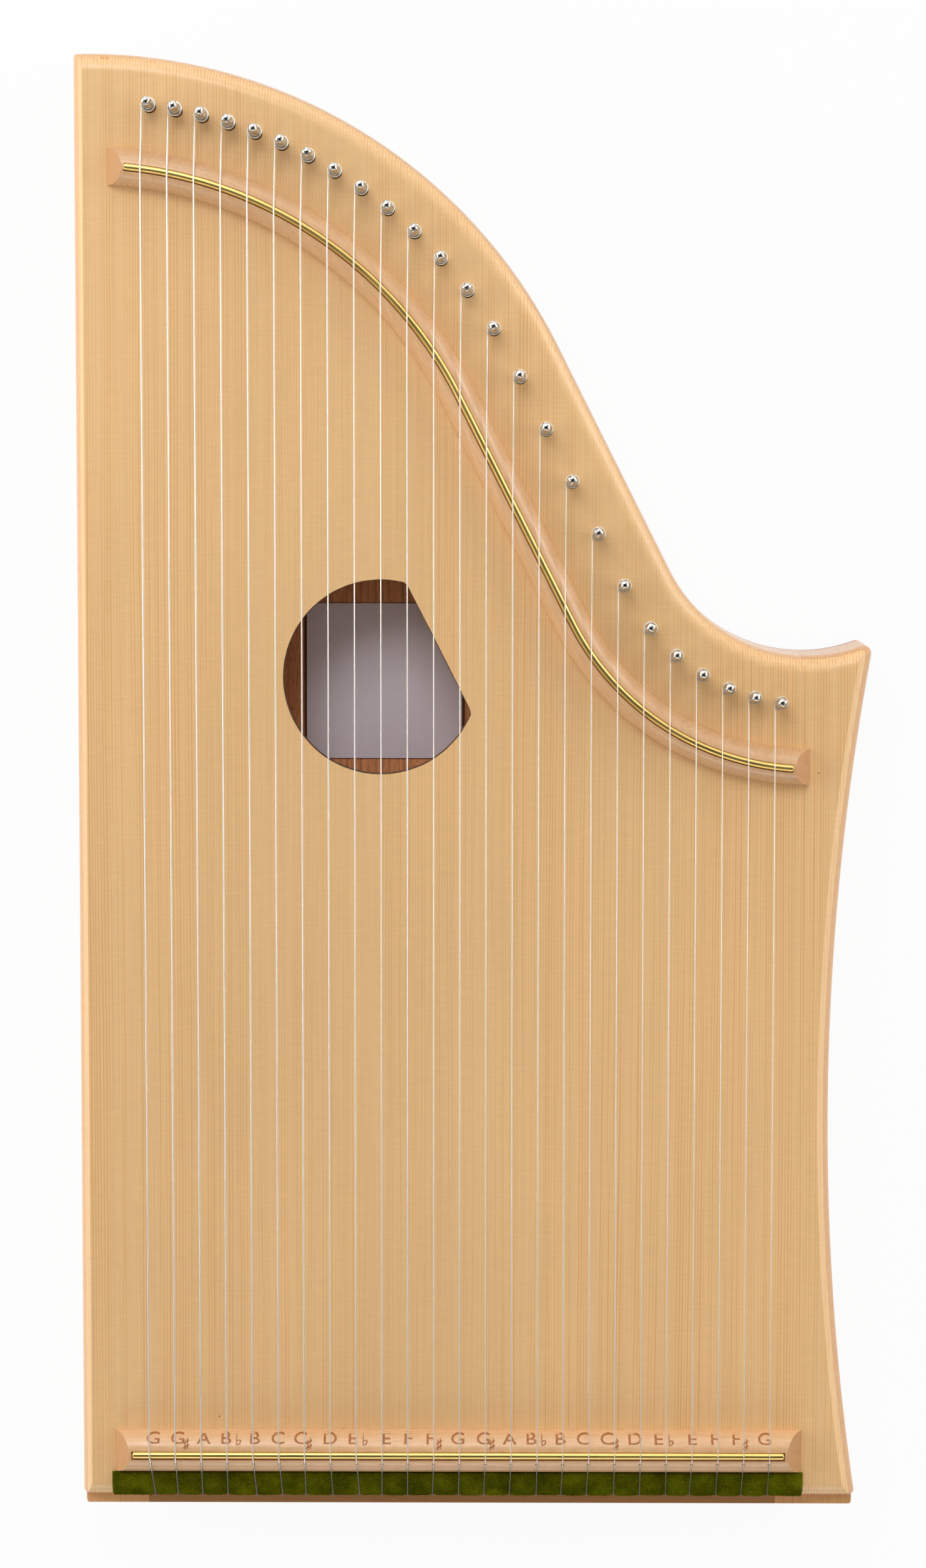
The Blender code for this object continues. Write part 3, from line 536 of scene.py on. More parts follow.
def add_node(tree, kind, inputs=None, stops=None, **settings):
    """Adds a node with its settings, its colour stops, and its inputs linked or set."""
    made = tree.nodes.new(kind)
    for name, value in settings.items():
        setattr(made, name, value)
    if stops:
        elements = made.color_ramp.elements
        while len(elements) < len(stops):
            elements.new(0.5)
        for element, (position, colour) in zip(elements, stops):
            element.position = position
            element.color = colour
    for key, value in (inputs or {}).items():
        if isinstance(value, bpy.types.NodeSocket):
            tree.links.new(value, made.inputs[key])
        else:
            made.inputs[key].default_value = value
    return made


def toned(colour, tone):
    """A colour with each of its channels multiplied by the tone's."""
    return tuple(a * b for a, b in zip(colour, tone))


def new_finish(name, roughness, metallic=0.0):
    """An empty node material with its shader."""
    made = bpy.data.materials.new(name)
    made.use_nodes = True
    shader = made.node_tree.nodes["Principled BSDF"]
    shader.inputs["Roughness"].default_value = roughness
    shader.inputs["Metallic"].default_value = metallic
    return made, made.node_tree, shader


def grained_wood(
    name, pale, dark, ring, turn=0.0, seed=0.0, slant=0.3, wander=0.005, sharp=(0.35, 1.0),
    line=0.75, fleck=0.0, silk=0.0, fade=(0.35, 1.0), edge=0.0, end_shade=0.0, blotch=0.12,
    roughness=0.42, coat=0.0, spots=(),
):
    """Sawn wood whose grain runs along y, turned about z; the ring width is in metres."""
    made, tree, shader = new_finish(name, roughness)
    shader.inputs["Coat Weight"].default_value = coat
    shader.inputs["Coat Roughness"].default_value = 0.22
    place = add_node(tree, "ShaderNodeTexCoord").outputs["Object"]
    laid = add_node(
        tree, "ShaderNodeMapping",
        {"Vector": place, "Location": (seed, seed * 0.7, seed * 0.3), "Rotation": (0, 0, turn)},
    ).outputs[0]

    def patch(scale, detail, low=None, high=None):
        """Noise stretched along the grain, its middle range spread from low to high."""
        stretched = add_node(tree, "ShaderNodeMapping", {"Vector": laid, "Scale": scale})
        cloud = add_node(
            tree, "ShaderNodeTexNoise",
            {"Vector": stretched.outputs[0], "Scale": 1.0, "Detail": detail},
        ).outputs["Fac"]
        if low is None:
            return cloud
        return add_node(
            tree, "ShaderNodeMapRange", {"Value": cloud, 1: 0.33, 2: 0.67, 3: low, 4: high}
        ).outputs[0]

    axes = add_node(tree, "ShaderNodeSeparateXYZ", {0: laid})
    across = axes.outputs["X"]
    bends = (
        (axes.outputs["Z"], slant),
        (patch((13.0, 1.3, 13.0), 2.0), 2 * wander),
        (patch((210.0, 2.5, 210.0), 1.0), 0.0013),
    )
    for bend, amount in bends:
        across = add_node(
            tree, "ShaderNodeMath", {0: bend, 1: amount, 2: across}, operation="MULTIPLY_ADD"
        ).outputs[0]
    strip = add_node(tree, "ShaderNodeCombineXYZ", {"X": across}).outputs[0]
    rings = add_node(
        tree, "ShaderNodeTexWave", {"Vector": strip, "Scale": math.pi / 10 / ring},
        wave_type="BANDS", bands_direction="X", wave_profile="SAW",
    ).outputs["Fac"]
    late = add_node(
        tree, "ShaderNodeMapRange",
        {"Value": rings, 1: sharp[0], 2: sharp[1], 3: 0.0, 4: line},
        interpolation_type="SMOOTHSTEP",
    ).outputs[0]
    strength = add_node(
        tree, "ShaderNodeMath",
        {
            0: patch((0.8 / ring, 2.0, 0.8 / ring), 0.0, 0.15, 1.0),
            1: patch((14.0, 2.2, 14.0), 1.0, *fade),
        },
        operation="MULTIPLY",
    ).outputs[0]
    # How far a face is turned to the end of the grain
    outwards = add_node(tree, "ShaderNodeNewGeometry").outputs["Normal"]
    grain_way = (math.sin(turn), math.cos(turn), 0.0)
    facing = add_node(
        tree, "ShaderNodeVectorMath", {0: outwards, 1: grain_way}, operation="DOT_PRODUCT"
    ).outputs["Value"]
    end = add_node(tree, "ShaderNodeMath", {0: facing, 1: facing}, operation="MULTIPLY").outputs[0]
    strength = add_node(
        tree, "ShaderNodeMath", {0: end, 1: edge, 2: strength}, operation="MULTIPLY_ADD"
    ).outputs[0]
    late = add_node(tree, "ShaderNodeMath", {0: late, 1: strength}, operation="MULTIPLY").outputs[0]
    streaks = patch((1300.0, 16.0, 1300.0), 3.0)
    if fleck:
        fine = patch((1700.0, 180.0, 1700.0), 2.0, -fleck, fleck)
        late = add_node(tree, "ShaderNodeMath", {0: late, 1: fine}, operation="MAXIMUM").outputs[0]
    late = add_node(tree, "ShaderNodeMath", {0: late, 1: 1.0}, operation="MINIMUM").outputs[0]
    colour = add_node(
        tree, "ShaderNodeMix",
        {"Factor": late, 6: (*pale, 1.0), 7: (*dark, 1.0)}, data_type="RGBA",
    ).outputs[2]
    light = patch((9.0, 4.0, 9.0), 2.0, 0.92 - blotch, 0.92 + blotch)
    shades = [(streaks, 0.16), (end, -end_shade)]
    if silk:
        shades.append((patch((110.0, 900.0, 110.0), 3.0, -silk, silk), 1.0))
    for shade, amount in shades:
        light = add_node(
            tree, "ShaderNodeMath", {0: shade, 1: amount, 2: light}, operation="MULTIPLY_ADD"
        ).outputs[0]
    colour = add_node(
        tree, "ShaderNodeVectorMath", {0: colour, "Scale": light}, operation="SCALE"
    ).outputs[0]
    for centre, reach, tone in spots:
        away = add_node(
            tree, "ShaderNodeVectorMath", {0: place, 1: centre}, operation="DISTANCE"
        ).outputs["Value"]
        spot = add_node(
            tree, "ShaderNodeMapRange",
            {"Value": away, 1: reach * 0.5, 2: reach, 3: 0.85, 4: 0.0},
        ).outputs[0]
        colour = add_node(
            tree, "ShaderNodeMix", {"Factor": spot, 6: colour, 7: (*linear(tone), 1.0)},
            data_type="RGBA",
        ).outputs[2]
    tree.links.new(colour, shader.inputs["Base Color"])
    gloss = patch((900.0, 90.0, 900.0), 1.0, roughness - 0.07, roughness + 0.07)
    tree.links.new(gloss, shader.inputs["Roughness"])
    grain = add_node(
        tree, "ShaderNodeMath", {0: streaks, 1: late}, operation="SUBTRACT"
    ).outputs[0]
    relief = add_node(
        tree, "ShaderNodeBump", {"Height": grain, "Strength": 0.25, "Distance": 0.00005}
    ).outputs[0]
    tree.links.new(relief, shader.inputs["Normal"])
    return made


def quartersawn_spruce():
    # Fine upright year rings in honey beige with a silky cross figure, under a thin satin oil
    look = finishes()
    # Small marks in the wood: place on the bench, reach and colour
    places = (
        ((0.0130, edge_y(0.0130, 0.0020), BOARD_TOP - 0.0026), 0.0012, "#DE9A50"),
        ((0.0150, edge_y(0.0150, 0.0020), BOARD_TOP - 0.0026), 0.0012, "#DE9A50"),
        ((0.0614, 0.0420, BOARD_TOP), 0.0005, "#7A4A22"),
        ((0.1170, 0.0365, BOARD_TOP), 0.0004, "#7A4A22"),
        ((0.3262, 0.3318, BOARD_TOP), 0.0004, "#3A2412"),
        ((0.3050, 0.3420, BOARD_TOP), 0.0004, "#7A4A22"),
    )
    spots = [(tuple(Vector(place) + CORNER), reach, tone) for place, reach, tone in places]
    return grained_wood(
        "quartersawn spruce", look.spruce_pale, look.spruce_dark, sizes().ring_width,
        slant=0.04, line=0.85, sharp=(0.35, 0.95), silk=0.022, fade=(0.25, 0.9), edge=0.75,
        blotch=0.035, roughness=0.38, coat=0.3, spots=spots,
    )


def oiled_beech(name, turn, seed, tone=(1.0, 1.0, 1.0), end_shade=0.0):
    # Pinkish even wood with soft growth lines and faint short flecks along the grain
    look = finishes()
    return grained_wood(
        name, toned(look.beech_pale, tone), toned(look.beech_dark, tone), 0.0042,
        turn=turn, seed=seed,
        slant=0.8, wander=0.012, line=0.25, fleck=0.22, silk=0.02, edge=0.5, end_shade=end_shade,
        blotch=0.05, roughness=0.31, coat=0.3,
    )


def beech_end_grain():
    # Sawn end of a bridge: a little darker, with curved year rings and open pores
    look = finishes()
    return grained_wood(
        "beech end grain", toned(look.beech_pale, (0.76, 0.66, 0.56)), look.beech_dark, 0.0030,
        turn=0.5, seed=5.2, slant=0.6, wander=0.03, sharp=(0.1, 1.0), line=0.7, fleck=0.25,
        blotch=0.06, roughness=0.5,
    )


def mahogany_board(name, tone=(1.0, 1.0, 1.0)):
    # Straight reddish-brown wood with long dark pores: lifted pale inside the body as painted light
    # for the dim hollow, darker outside
    look = finishes()
    return grained_wood(
        name, toned(look.back_pale_painted_light, tone), toned(look.back_dark, tone), 0.0034, seed=0.4,
        slant=0.5, wander=0.010, line=0.6, fleck=0.5, blotch=0.12, roughness=0.6,
    )


def clouded(name, roughness, scale, detail, stops):
    """A plain finish whose colour drifts between the stops in soft clouds."""
    made, tree, shader = new_finish(name, roughness)
    place = add_node(tree, "ShaderNodeTexCoord").outputs["Object"]
    cloud = add_node(
        tree, "ShaderNodeTexNoise", {"Vector": place, "Scale": scale, "Detail": detail}
    ).outputs["Fac"]
    stops = [(position, (*colour, 1.0)) for position, colour in stops]
    colour = add_node(tree, "ShaderNodeValToRGB", {"Fac": cloud}, stops=stops).outputs[0]
    tree.links.new(colour, shader.inputs["Base Color"])
    return made


def charred_edge():
    # Thin dark line left by the cutter around the sound hole
    stops = ((0.3, linear("#3A2213")), (0.75, linear("#6E4A2B")))
    return clouded("charred spruce edge", 0.8, 900.0, 2.0, stops)


def laid_paper(name, colour, roughness):
    # Plain uncoated paper, faintly cloudy
    return clouded(name, roughness, 160.0, 4.0, ((0.0, [c * 0.93 for c in colour]), (1.0, colour)))


def burnt_line():
    # Letters burnt into the bridge: toasted brown, uneven like a hot stamp
    tone = finishes().letters
    stops = ((0.35, [c * 0.62 for c in tone]), (0.65, [min(c * 1.35, 1.0) for c in tone]))
    return clouded("burnt beech", 0.6, 1800.0, 2.0, stops)


def metal(name, colour, roughness, variation, scale):
    """A metal whose gloss and tint vary a little, as on drawn or plated parts."""
    made, tree, shader = new_finish(name, roughness, 1.0)
    place = add_node(tree, "ShaderNodeTexCoord").outputs["Object"]
    cloud = add_node(
        tree, "ShaderNodeTexNoise", {"Vector": place, "Scale": scale, "Detail": 2.0}
    ).outputs["Fac"]
    gloss = add_node(
        tree, "ShaderNodeMapRange",
        {"Value": cloud, 1: 0.3, 2: 0.7, 3: roughness - variation, 4: roughness + variation},
    ).outputs[0]
    tree.links.new(gloss, shader.inputs["Roughness"])
    tint = add_node(
        tree, "ShaderNodeMix",
        {"Factor": cloud, 6: (*colour, 1.0), 7: (*[c * 0.86 for c in colour], 1.0)},
        data_type="RGBA",
    ).outputs[2]
    tree.links.new(tint, shader.inputs["Base Color"])
    return made


def drawn_brass():
    # Smooth yellow rod with faint drawing marks, almost mirror bright
    return metal("drawn brass", finishes().brass, 0.34, 0.04, 60.0)


def nickel_plate():
    # Bright slightly warm plating on turned steel, softer than chrome
    return metal("nickel plate", finishes().nickel, 0.12, 0.02, 300.0)


def music_wire():
    # Tinned steel wire: pale grey with a silky gloss, darkened over the felt as painted shade and
    # painted dark reflection
    made = metal("tinned music wire", finishes().wire, 0.42, 0.05, 300.0)
    tree = made.node_tree
    shader = tree.nodes["Principled BSDF"]
    bright = shader.inputs["Base Color"].links[0].from_socket
    place = add_node(tree, "ShaderNodeTexCoord").outputs["Object"]
    along = add_node(tree, "ShaderNodeSeparateXYZ", {0: place}).outputs["Y"]
    bridge = LOWER_BRIDGE_Y + CORNER.y
    # Painted shade and dark reflection: the wire's colour fades to dark olive grey where it runs
    # over the felt
    painted_shade_over_felt = add_node(
        tree, "ShaderNodeMapRange",
        {"Value": along, 1: bridge - 0.009, 2: bridge - 0.002, 3: 0.88, 4: 0.0},
    ).outputs[0]
    colour = add_node(
        tree, "ShaderNodeMix", {"Factor": painted_shade_over_felt, 6: bright, 7: (*linear("#3C382C"), 1.0)},
        data_type="RGBA",
    ).outputs[2]
    tree.links.new(colour, shader.inputs["Base Color"])
    return made


def wool_felt():
    # Dense moss-green felt: matt, with single lighter and darker fibres
    made, tree, shader = new_finish("pressed wool felt", 0.95)
    base = finishes().felt
    place = add_node(tree, "ShaderNodeTexCoord").outputs["Object"]
    fibre = add_node(
        tree, "ShaderNodeTexNoise",
        {"Vector": place, "Scale": 2600.0, "Detail": 3.0, "Roughness": 0.7, "Distortion": 1.5},
    ).outputs["Fac"]
    cloud = add_node(
        tree, "ShaderNodeTexNoise", {"Vector": place, "Scale": 120.0, "Detail": 2.0}
    ).outputs["Fac"]
    mixed = add_node(
        tree, "ShaderNodeMath", {0: cloud, 1: 0.35, 2: fibre}, operation="MULTIPLY_ADD"
    ).outputs[0]
    colour = add_node(
        tree, "ShaderNodeValToRGB", {"Fac": mixed},
        stops=(
            (0.46, (*[c * 0.30 for c in base], 1.0)),
            (0.66, (*base, 1.0)),
            (0.80, (*[min(c * 2.6, 1.0) for c in base], 1.0)),
        ),
    ).outputs[0]
    tree.links.new(colour, shader.inputs["Base Color"])
    shader.inputs["Specular IOR Level"].default_value = 0.0
    relief = add_node(
        tree, "ShaderNodeBump", {"Height": fibre, "Strength": 0.9, "Distance": 0.0002}
    ).outputs[0]
    tree.links.new(relief, shader.inputs["Normal"])
    return made


def studio_floor():
    # Seamless white paper: white to the camera and in gloss, with a trace of shadow
    made, tree, shader = new_finish("seamless studio paper", 0.9)
    shader.inputs["Base Color"].default_value = (*finishes().floor, 1.0)
    path = add_node(tree, "ShaderNodeLightPath")
    seen = add_node(
        tree, "ShaderNodeMath",
        {0: path.outputs["Is Camera Ray"], 1: path.outputs["Is Glossy Ray"]}, operation="MAXIMUM",
    ).outputs[0]
    share = add_node(
        tree, "ShaderNodeMath", {0: seen, 1: FLOOR_GLOW}, operation="MULTIPLY"
    ).outputs[0]
    glow = add_node(tree, "ShaderNodeEmission", {"Color": (1.0, 1.0, 1.0, 1.0), "Strength": 1.0})
    both = add_node(
        tree, "ShaderNodeMixShader", {0: share, 1: shader.outputs[0], 2: glow.outputs[0]}
    ).outputs[0]
    tree.links.new(both, tree.nodes["Material Output"].inputs["Surface"])
    return made


# ---- The harp's pieces ----


def pin_frame(index):
    """A pin's own frame on the bench: origin on the soundboard's plane, z along its axis."""
    flat = math.sin(PIN_LEAN)
    axis = Vector(
        (
            flat * math.cos(PIN_LEAN_HEADING),
            flat * math.sin(PIN_LEAN_HEADING),
            math.cos(PIN_LEAN),
        )
    )
    turn = Vector((0.0, 0.0, 1.0)).rotation_difference(axis)
    x = string_x(index) + PIN_RADIUS + WRAP_CLEARANCE + gauge(index) / 2
    at_wrap = Vector((x, edge_y(x, PIN_ROW_INSET), BOARD_TOP + WRAP_HEIGHT * axis.z))
    return Matrix.Translation(at_wrap - axis * WRAP_HEIGHT) @ turn.to_matrix().to_4x4()


def sound_hole_plan(grow):
    """The D-shaped hole, a little uneven as cut by hand, made larger by grow."""
    flat = CROWN + OUTWARDS * (CROWN_RADIUS - HOLE_FLAT_INSET) + DOWNHILL * HOLE_ALONG
    centre = flat - OUTWARDS * HOLE_FLAT_DEPTH
    opening = math.acos(HOLE_FLAT_DEPTH / HOLE_RADIUS)
    start = STRAIGHT_NORMAL + opening + HOLE_CORNER_TURN
    end = STRAIGHT_NORMAL + 2 * math.pi - opening - HOLE_CORNER_TURN
    rim = arc(centre, HOLE_RADIUS, start, end, 120)
    half = math.sqrt(HOLE_RADIUS**2 - HOLE_FLAT_DEPTH**2) - HOLE_CORNER_CUT
    chord = [flat + DOWNHILL * half * (1 - i / 8) for i in range(17)]
    points = []
    for point in [Vector(p) for p in rim] + chord:
        out = point - centre
        wobble = noise.noise((point.x * 260, point.y * 260, 0.0)) * HOLE_WOBBLE
        points.append(tuple(point + out.normalized() * (grow + wobble)))
    return points


def pin_hole_rings(z):
    """Round holes for the pins where their axes pass height z."""
    rings = []
    for index in range(STRING_COUNT):
        frame_of_pin = pin_frame(index)
        axis = frame_of_pin.to_3x3() @ Vector((0.0, 0.0, 1.0))
        centre = frame_of_pin.translation + axis * ((z - BOARD_TOP) / axis.z)
        rings.append(at_height(arc(centre, PIN_HOLE_RADIUS, 0.0, 2 * math.pi, 16)[:-1], z))
    return rings


def build_soundboard(work):
    """Spruce top with its rounded edge, the sound hole and the pin holes."""
    rises = round_levels(BOARD_UNDERSIDE, BOARD_TOP, 8)
    rings = [at_height(outline(rise, TAIL_LEDGE), ROUND_BASE + rise) for rise in rises]
    loops, skin = add_skin(work, rings, caps=False)
    bottoms, tops = [loops[0]], [loops[-1]]
    hole = [
        at_height(sound_hole_plan(0.0), BOARD_UNDERSIDE),
        at_height(sound_hole_plan(0.0), BOARD_TOP - HOLE_EASE),
        at_height(sound_hole_plan(HOLE_EASE), BOARD_TOP),
    ]
    hole_loops, hole_faces = add_skin(work, hole, caps=False)
    for face in hole_faces:
        face.material_index = 1
    bottoms.append(hole_loops[0])
    tops.append(hole_loops[-1])
    for low, high in zip(pin_hole_rings(BOARD_UNDERSIDE), pin_hole_rings(BOARD_TOP)):
        pin_loops, pin_faces = add_skin(work, [low, high], caps=False)
        bottoms.append(pin_loops[0])
        tops.append(pin_loops[-1])
    for group in (bottoms, tops):
        edges = [edge for loop in group for edge in loop]
        bmesh.ops.triangle_fill(work, use_beauty=True, use_dissolve=False, edges=edges)


def build_back(work):
    levels = ((0.0, BACK_EDGE), (0.0006, 0.0005), (BACK_EDGE, 0.0), (BACK_THICKNESS, 0.0))
    add_skin(work, [at_height(outline(0.0, 0.0, inset), z) for z, inset in levels])


def build_blank(work):
    """The whole hardwood rim with its ledge, before it is parted into bars."""
    rings = [
        at_height(outline(0.0, TAIL_LEDGE, ledge=0.0), FRAME_BOTTOM),
        at_height(outline(0.0, TAIL_LEDGE, ledge=0.0), LEDGE_TOP - 0.0004),
        at_height(outline(0.0, TAIL_LEDGE, ledge=0.0003), LEDGE_TOP),
        at_height(outline(0.0, TAIL_LEDGE), LEDGE_TOP),
    ]
    for rise in round_levels(ROUND_BASE, FRAME_TOP, 6):
        rings.append(at_height(outline(rise, TAIL_LEDGE), ROUND_BASE + rise))
    add_skin(work, rings)
    bmesh.ops.remove_doubles(work, verts=work.verts, dist=0.000001)


def cut_away(work, place, facing):
    """Cuts the solid at a plane, takes off the side that the plane faces, and closes the cut."""
    bmesh.ops.bisect_plane(
        work, geom=work.verts[:] + work.edges[:] + work.faces[:],
        plane_co=place, plane_no=facing, clear_outer=True,
    )
    rim = [edge for edge in work.edges if edge.is_boundary]
    bmesh.ops.holes_fill(work, edges=rim, sides=0)


def seam_plane(gap, towards):
    """A point and a facing for a cut along the right bar's slanted seam."""
    rise = right_seam_x(SCOOP_HEIGHT) - right_seam_x(0.0)
    facing = Vector((SCOOP_HEIGHT, -rise, 0.0)).normalized() * towards
    return (right_seam_x(0.0) + gap, 0.0, 0.0), facing


def build_left_bar(work):
    build_blank(work)
    cut_away(work, (LEFT_BAR - GLUE_LINE / 2, 0.0, 0.0), (1.0, 0.0, 0.0))


def build_right_bar(work):
    build_blank(work)
    cut_away(work, *seam_plane(GLUE_LINE / 2, -1.0))


def build_tail_block(work):
    build_blank(work)
    cut_away(work, (0.0, TAIL_BLOCK, 0.0), (0.0, 1.0, 0.0))
    cut_away(work, (LEFT_BAR + GLUE_LINE / 2, 0.0, 0.0), (-1.0, 0.0, 0.0))
    cut_away(work, *seam_plane(-GLUE_LINE / 2, 1.0))


def build_pin_block(work):
    """Block under the pins, between the bars, rounded outside with the board's edge."""
    left = LEFT_BAR + GLUE_LINE / 2
    inner = edge_path(PIN_BLOCK_WIDTH, left, right_seam_x(PIN_BLOCK_FOOT) - GLUE_LINE / 2)[::-1]
    rings = []
    rises = [FRAME_BOTTOM - ROUND_BASE] + round_levels(ROUND_BASE, FRAME_TOP, 6)
    for rise in rises:
        inset = EDGE_RADIUS * (1 - math.sqrt(1 - (max(rise, 0.0) / EDGE_RADIUS) ** 2))
        outer = edge_path(inset, left, right_seam_x(SCOOP_HEIGHT) - GLUE_LINE / 2)
        rings.append(at_height(outer + inner, ROUND_BASE + rise))
    add_skin(work, rings)


def sweep_rings(path, section):
    """A section of (side, height) points carried along a plan path, square to it."""
    rings = []
    for i, (x, y) in enumerate(path):
        before = path[max(i - 1, 0)]
        after = path[min(i + 1, len(path) - 1)]
        way = Vector((after[0] - before[0], after[1] - before[1])).normalized()
        rings.append([(x - way.y * side, y + way.x * side, z) for side, z in section])
    return rings


def half_round(width):
    """Section of a half-round moulding standing on the soundboard."""
    foot = BOARD_TOP + BRIDGE_LIFT
    rise = BOARD_TOP + BRIDGE_HEIGHT - foot
    turns = [math.pi * i / 28 for i in range(29)]
    return [(width / 2 * math.cos(turn), foot + rise * math.sin(turn)) for turn in turns]


def moulding_mesh(name, path, width, ends):
    """A half-round moulding along the path with slanted ends."""

    def build(work):
        add_skin(work, sweep_rings(path, half_round(width)))
        cut_away(work, (ends[0], 0.0, BOARD_TOP), (-BRIDGE_HEIGHT, 0.0, BRIDGE_END_RUN))
        cut_away(work, (ends[1], 0.0, BOARD_TOP), (BRIDGE_HEIGHT, 0.0, BRIDGE_END_RUN))

    return mesh_from(name, build)


def mark_ends(mesh):
    """Gives a bridge's two slanted end faces the second material."""
    for face in mesh.polygons:
        if abs(face.normal.y) < 0.02 and abs(face.normal.x) > 0.8 and face.normal.z > 0.3:
            face.material_index = 1


def slot_mesh(name, path, slack):
    """The rod's slot, with a little slack on the side that faces the tail."""
    near, far = ROD_RADIUS + ROD_FIT, ROD_RADIUS + ROD_FIT + slack
    low, high = ROD_Z - ROD_RADIUS - ROD_FIT, BOARD_TOP + BRIDGE_HEIGHT + 0.01
    section = [(-far, low), (near, low), (near, high), (-far, high)]
    return mesh_from(name, lambda work: add_skin(work, sweep_rings(path, section)))


def rod_mesh(name, path):
    """Brass rod with softly rounded ends."""
    route = [((x, y, ROD_Z), 1.0) for x, y in path]
    first, last = Vector(route[0][0]), Vector(route[-1][0])
    into = (Vector(route[1][0]) - first).normalized()
    back = (Vector(route[-2][0]) - last).normalized()
    route = (
        [(tuple(first - into * 0.0004), 0.7), (tuple(first - into * 0.0001), 0.94)]
        + route
        + [(tuple(last - back * 0.0001), 0.94), (tuple(last - back * 0.0004), 0.7)]
    )
    return wire_mesh(name, route, ROD_RADIUS, 16)


def fall_angle(radius):
    """Slope of a string of this radius between the lower rod and the felt's rounded edge."""
    rod_reach = ROD_RADIUS + CAD_GAP + radius
    felt_reach = EDGE_RADIUS + CAD_GAP + FELT_THICKNESS + CAD_GAP + radius
    across = LOWER_BRIDGE_Y - TAIL_LEDGE - EDGE_RADIUS
    up = ROD_Z - ROUND_BASE
    return math.acos((felt_reach - rod_reach) / math.hypot(across, up)) - math.atan2(across, up)


def notch_mesh():
    """V-shaped cutters, one under each string, on the slope behind the lower rod."""

    def build(work):
        for index in range(STRING_COUNT):
            fall = fall_angle(gauge(index) / 2)
            reach = ROD_RADIUS + CAD_GAP
            y = LOWER_BRIDGE_Y - reach * math.sin(fall) - NOTCH_BEHIND_ROD * math.cos(fall)
            z = ROD_Z + reach * math.cos(fall) - NOTCH_BEHIND_ROD * math.sin(fall)
            x = string_x_at(index, y)
            aside = math.atan2(x - string_x_at(index, LOWER_BRIDGE_Y), LOWER_BRIDGE_Y - y)
            turn = Matrix.Rotation(aside, 4, "Z") @ Matrix.Rotation(math.pi / 2 - fall, 4, "X")
            shape = Matrix.Diagonal((NOTCH_WIDTH / 2, NOTCH_DEPTH / 2, 1.0, 1.0))
            bmesh.ops.create_cone(
                work, cap_ends=True, segments=4, radius1=1.0, radius2=1.0,
                depth=NOTCH_LENGTH, matrix=Matrix.Translation((x, y, z)) @ turn @ shape,
            )

    return mesh_from("string_notches", build)


def bridge_height_at(y):
    """Height of the lower bridge's skin at y on the bench."""
    share = (y - LOWER_BRIDGE_Y) / (LOWER_BRIDGE_WIDTH / 2)
    return BOARD_TOP + BRIDGE_HEIGHT * math.sqrt(max(1 - share**2, 0.0))


def glyph_mesh(text, bold):
    """A letter's flat mesh, straight from the font, its strokes widened on each side by bold."""
    curve = bpy.data.curves.new("glyph", "FONT")
    curve.body = text
    curve.resolution_u = 4
    curve.offset = bold
    return mesh_of("glyph", curve)


def add_glyph(work, text, centre, span, scale, bold):
    """A letter laid on the bridge's slope: middle at x = centre, from span's low y to its high."""
    part = bmesh.new()
    part.from_mesh(glyph_mesh(text, bold))
    xs = [corner.co.x for corner in part.verts]
    ys = [corner.co.y for corner in part.verts]
    middle = (min(xs) + max(xs)) / 2
    stretch = (span[1] - span[0]) / (max(ys) - min(ys))
    move = Matrix.Translation((centre, span[0], 0.0))
    size = Matrix.Diagonal((scale, stretch, 1.0, 1.0))
    home = Matrix.Translation((-middle, -min(ys), 0.0))
    bmesh.ops.transform(part, matrix=move @ size @ home, verts=part.verts)
    for i in range(1, 8):
        bmesh.ops.bisect_plane(
            part, geom=part.verts[:] + part.edges[:] + part.faces[:],
            plane_co=(0.0, span[0] + (span[1] - span[0]) * i / 8, 0.0), plane_no=(0, 1, 0),
        )
    for corner in part.verts:
        corner.co.z = bridge_height_at(corner.co.y) + LETTER_PROUD
    flat = bpy.data.meshes.new("letter")
    raised = bmesh.ops.extrude_face_region(part, geom=part.faces[:])["geom"]
    lower = [item for item in raised if isinstance(item, bmesh.types.BMVert)]
    bmesh.ops.translate(part, verts=lower, vec=(0.0, 0.0, -sizes().letter_depth))
    part.to_mesh(flat)
    part.free()
    work.from_mesh(flat)
    bpy.data.meshes.remove(flat)


def build_note_names(work):
    """Burnt note names on the upper slope of the lower bridge."""
    for index, note in enumerate(NOTES):
        x = string_x(index) + NOTE_SHIFTS[index] / 1000
        add_glyph(work, note[0], x, *LETTER)
        if len(note) > 1:
            sign, aside, *shape = SIGNS[note[1]]
            add_glyph(work, sign, x + aside, *shape)


# ---- Felt ----

FELT_FLAT = LOWER_BRIDGE_Y - LOWER_BRIDGE_WIDTH / 2 - 0.0004 - TAIL_LEDGE - EDGE_RADIUS


def felt_ends():
    return LOWER_BRIDGE_ENDS[0] - FELT_PAST_BRIDGE, LOWER_BRIDGE_ENDS[1] + FELT_PAST_BRIDGE / 2


def felt_point(x, along, height):
    """A point of the felt: along is the way from the bridge over the rounded edge."""
    if along < FELT_FLAT:
        y = TAIL_LEDGE + EDGE_RADIUS + FELT_FLAT - along
        return Vector((x, y, BOARD_TOP + FELT_LIFT + height))
    angle = (along - FELT_FLAT) / (EDGE_RADIUS + FELT_THICKNESS / 2)
    reach = EDGE_RADIUS + FELT_LIFT + height
    return Vector(
        (
            x,
            TAIL_LEDGE + EDGE_RADIUS - reach * math.sin(angle),
            ROUND_BASE + reach * math.cos(angle),
        )
    )


def nearest_string(x, along):
    """Distance from the nearest string, at this way down the felt."""
    y = felt_point(x, along, 0.0).y
    return min(abs(x - string_x_at(index, y)) for index in range(STRING_COUNT))


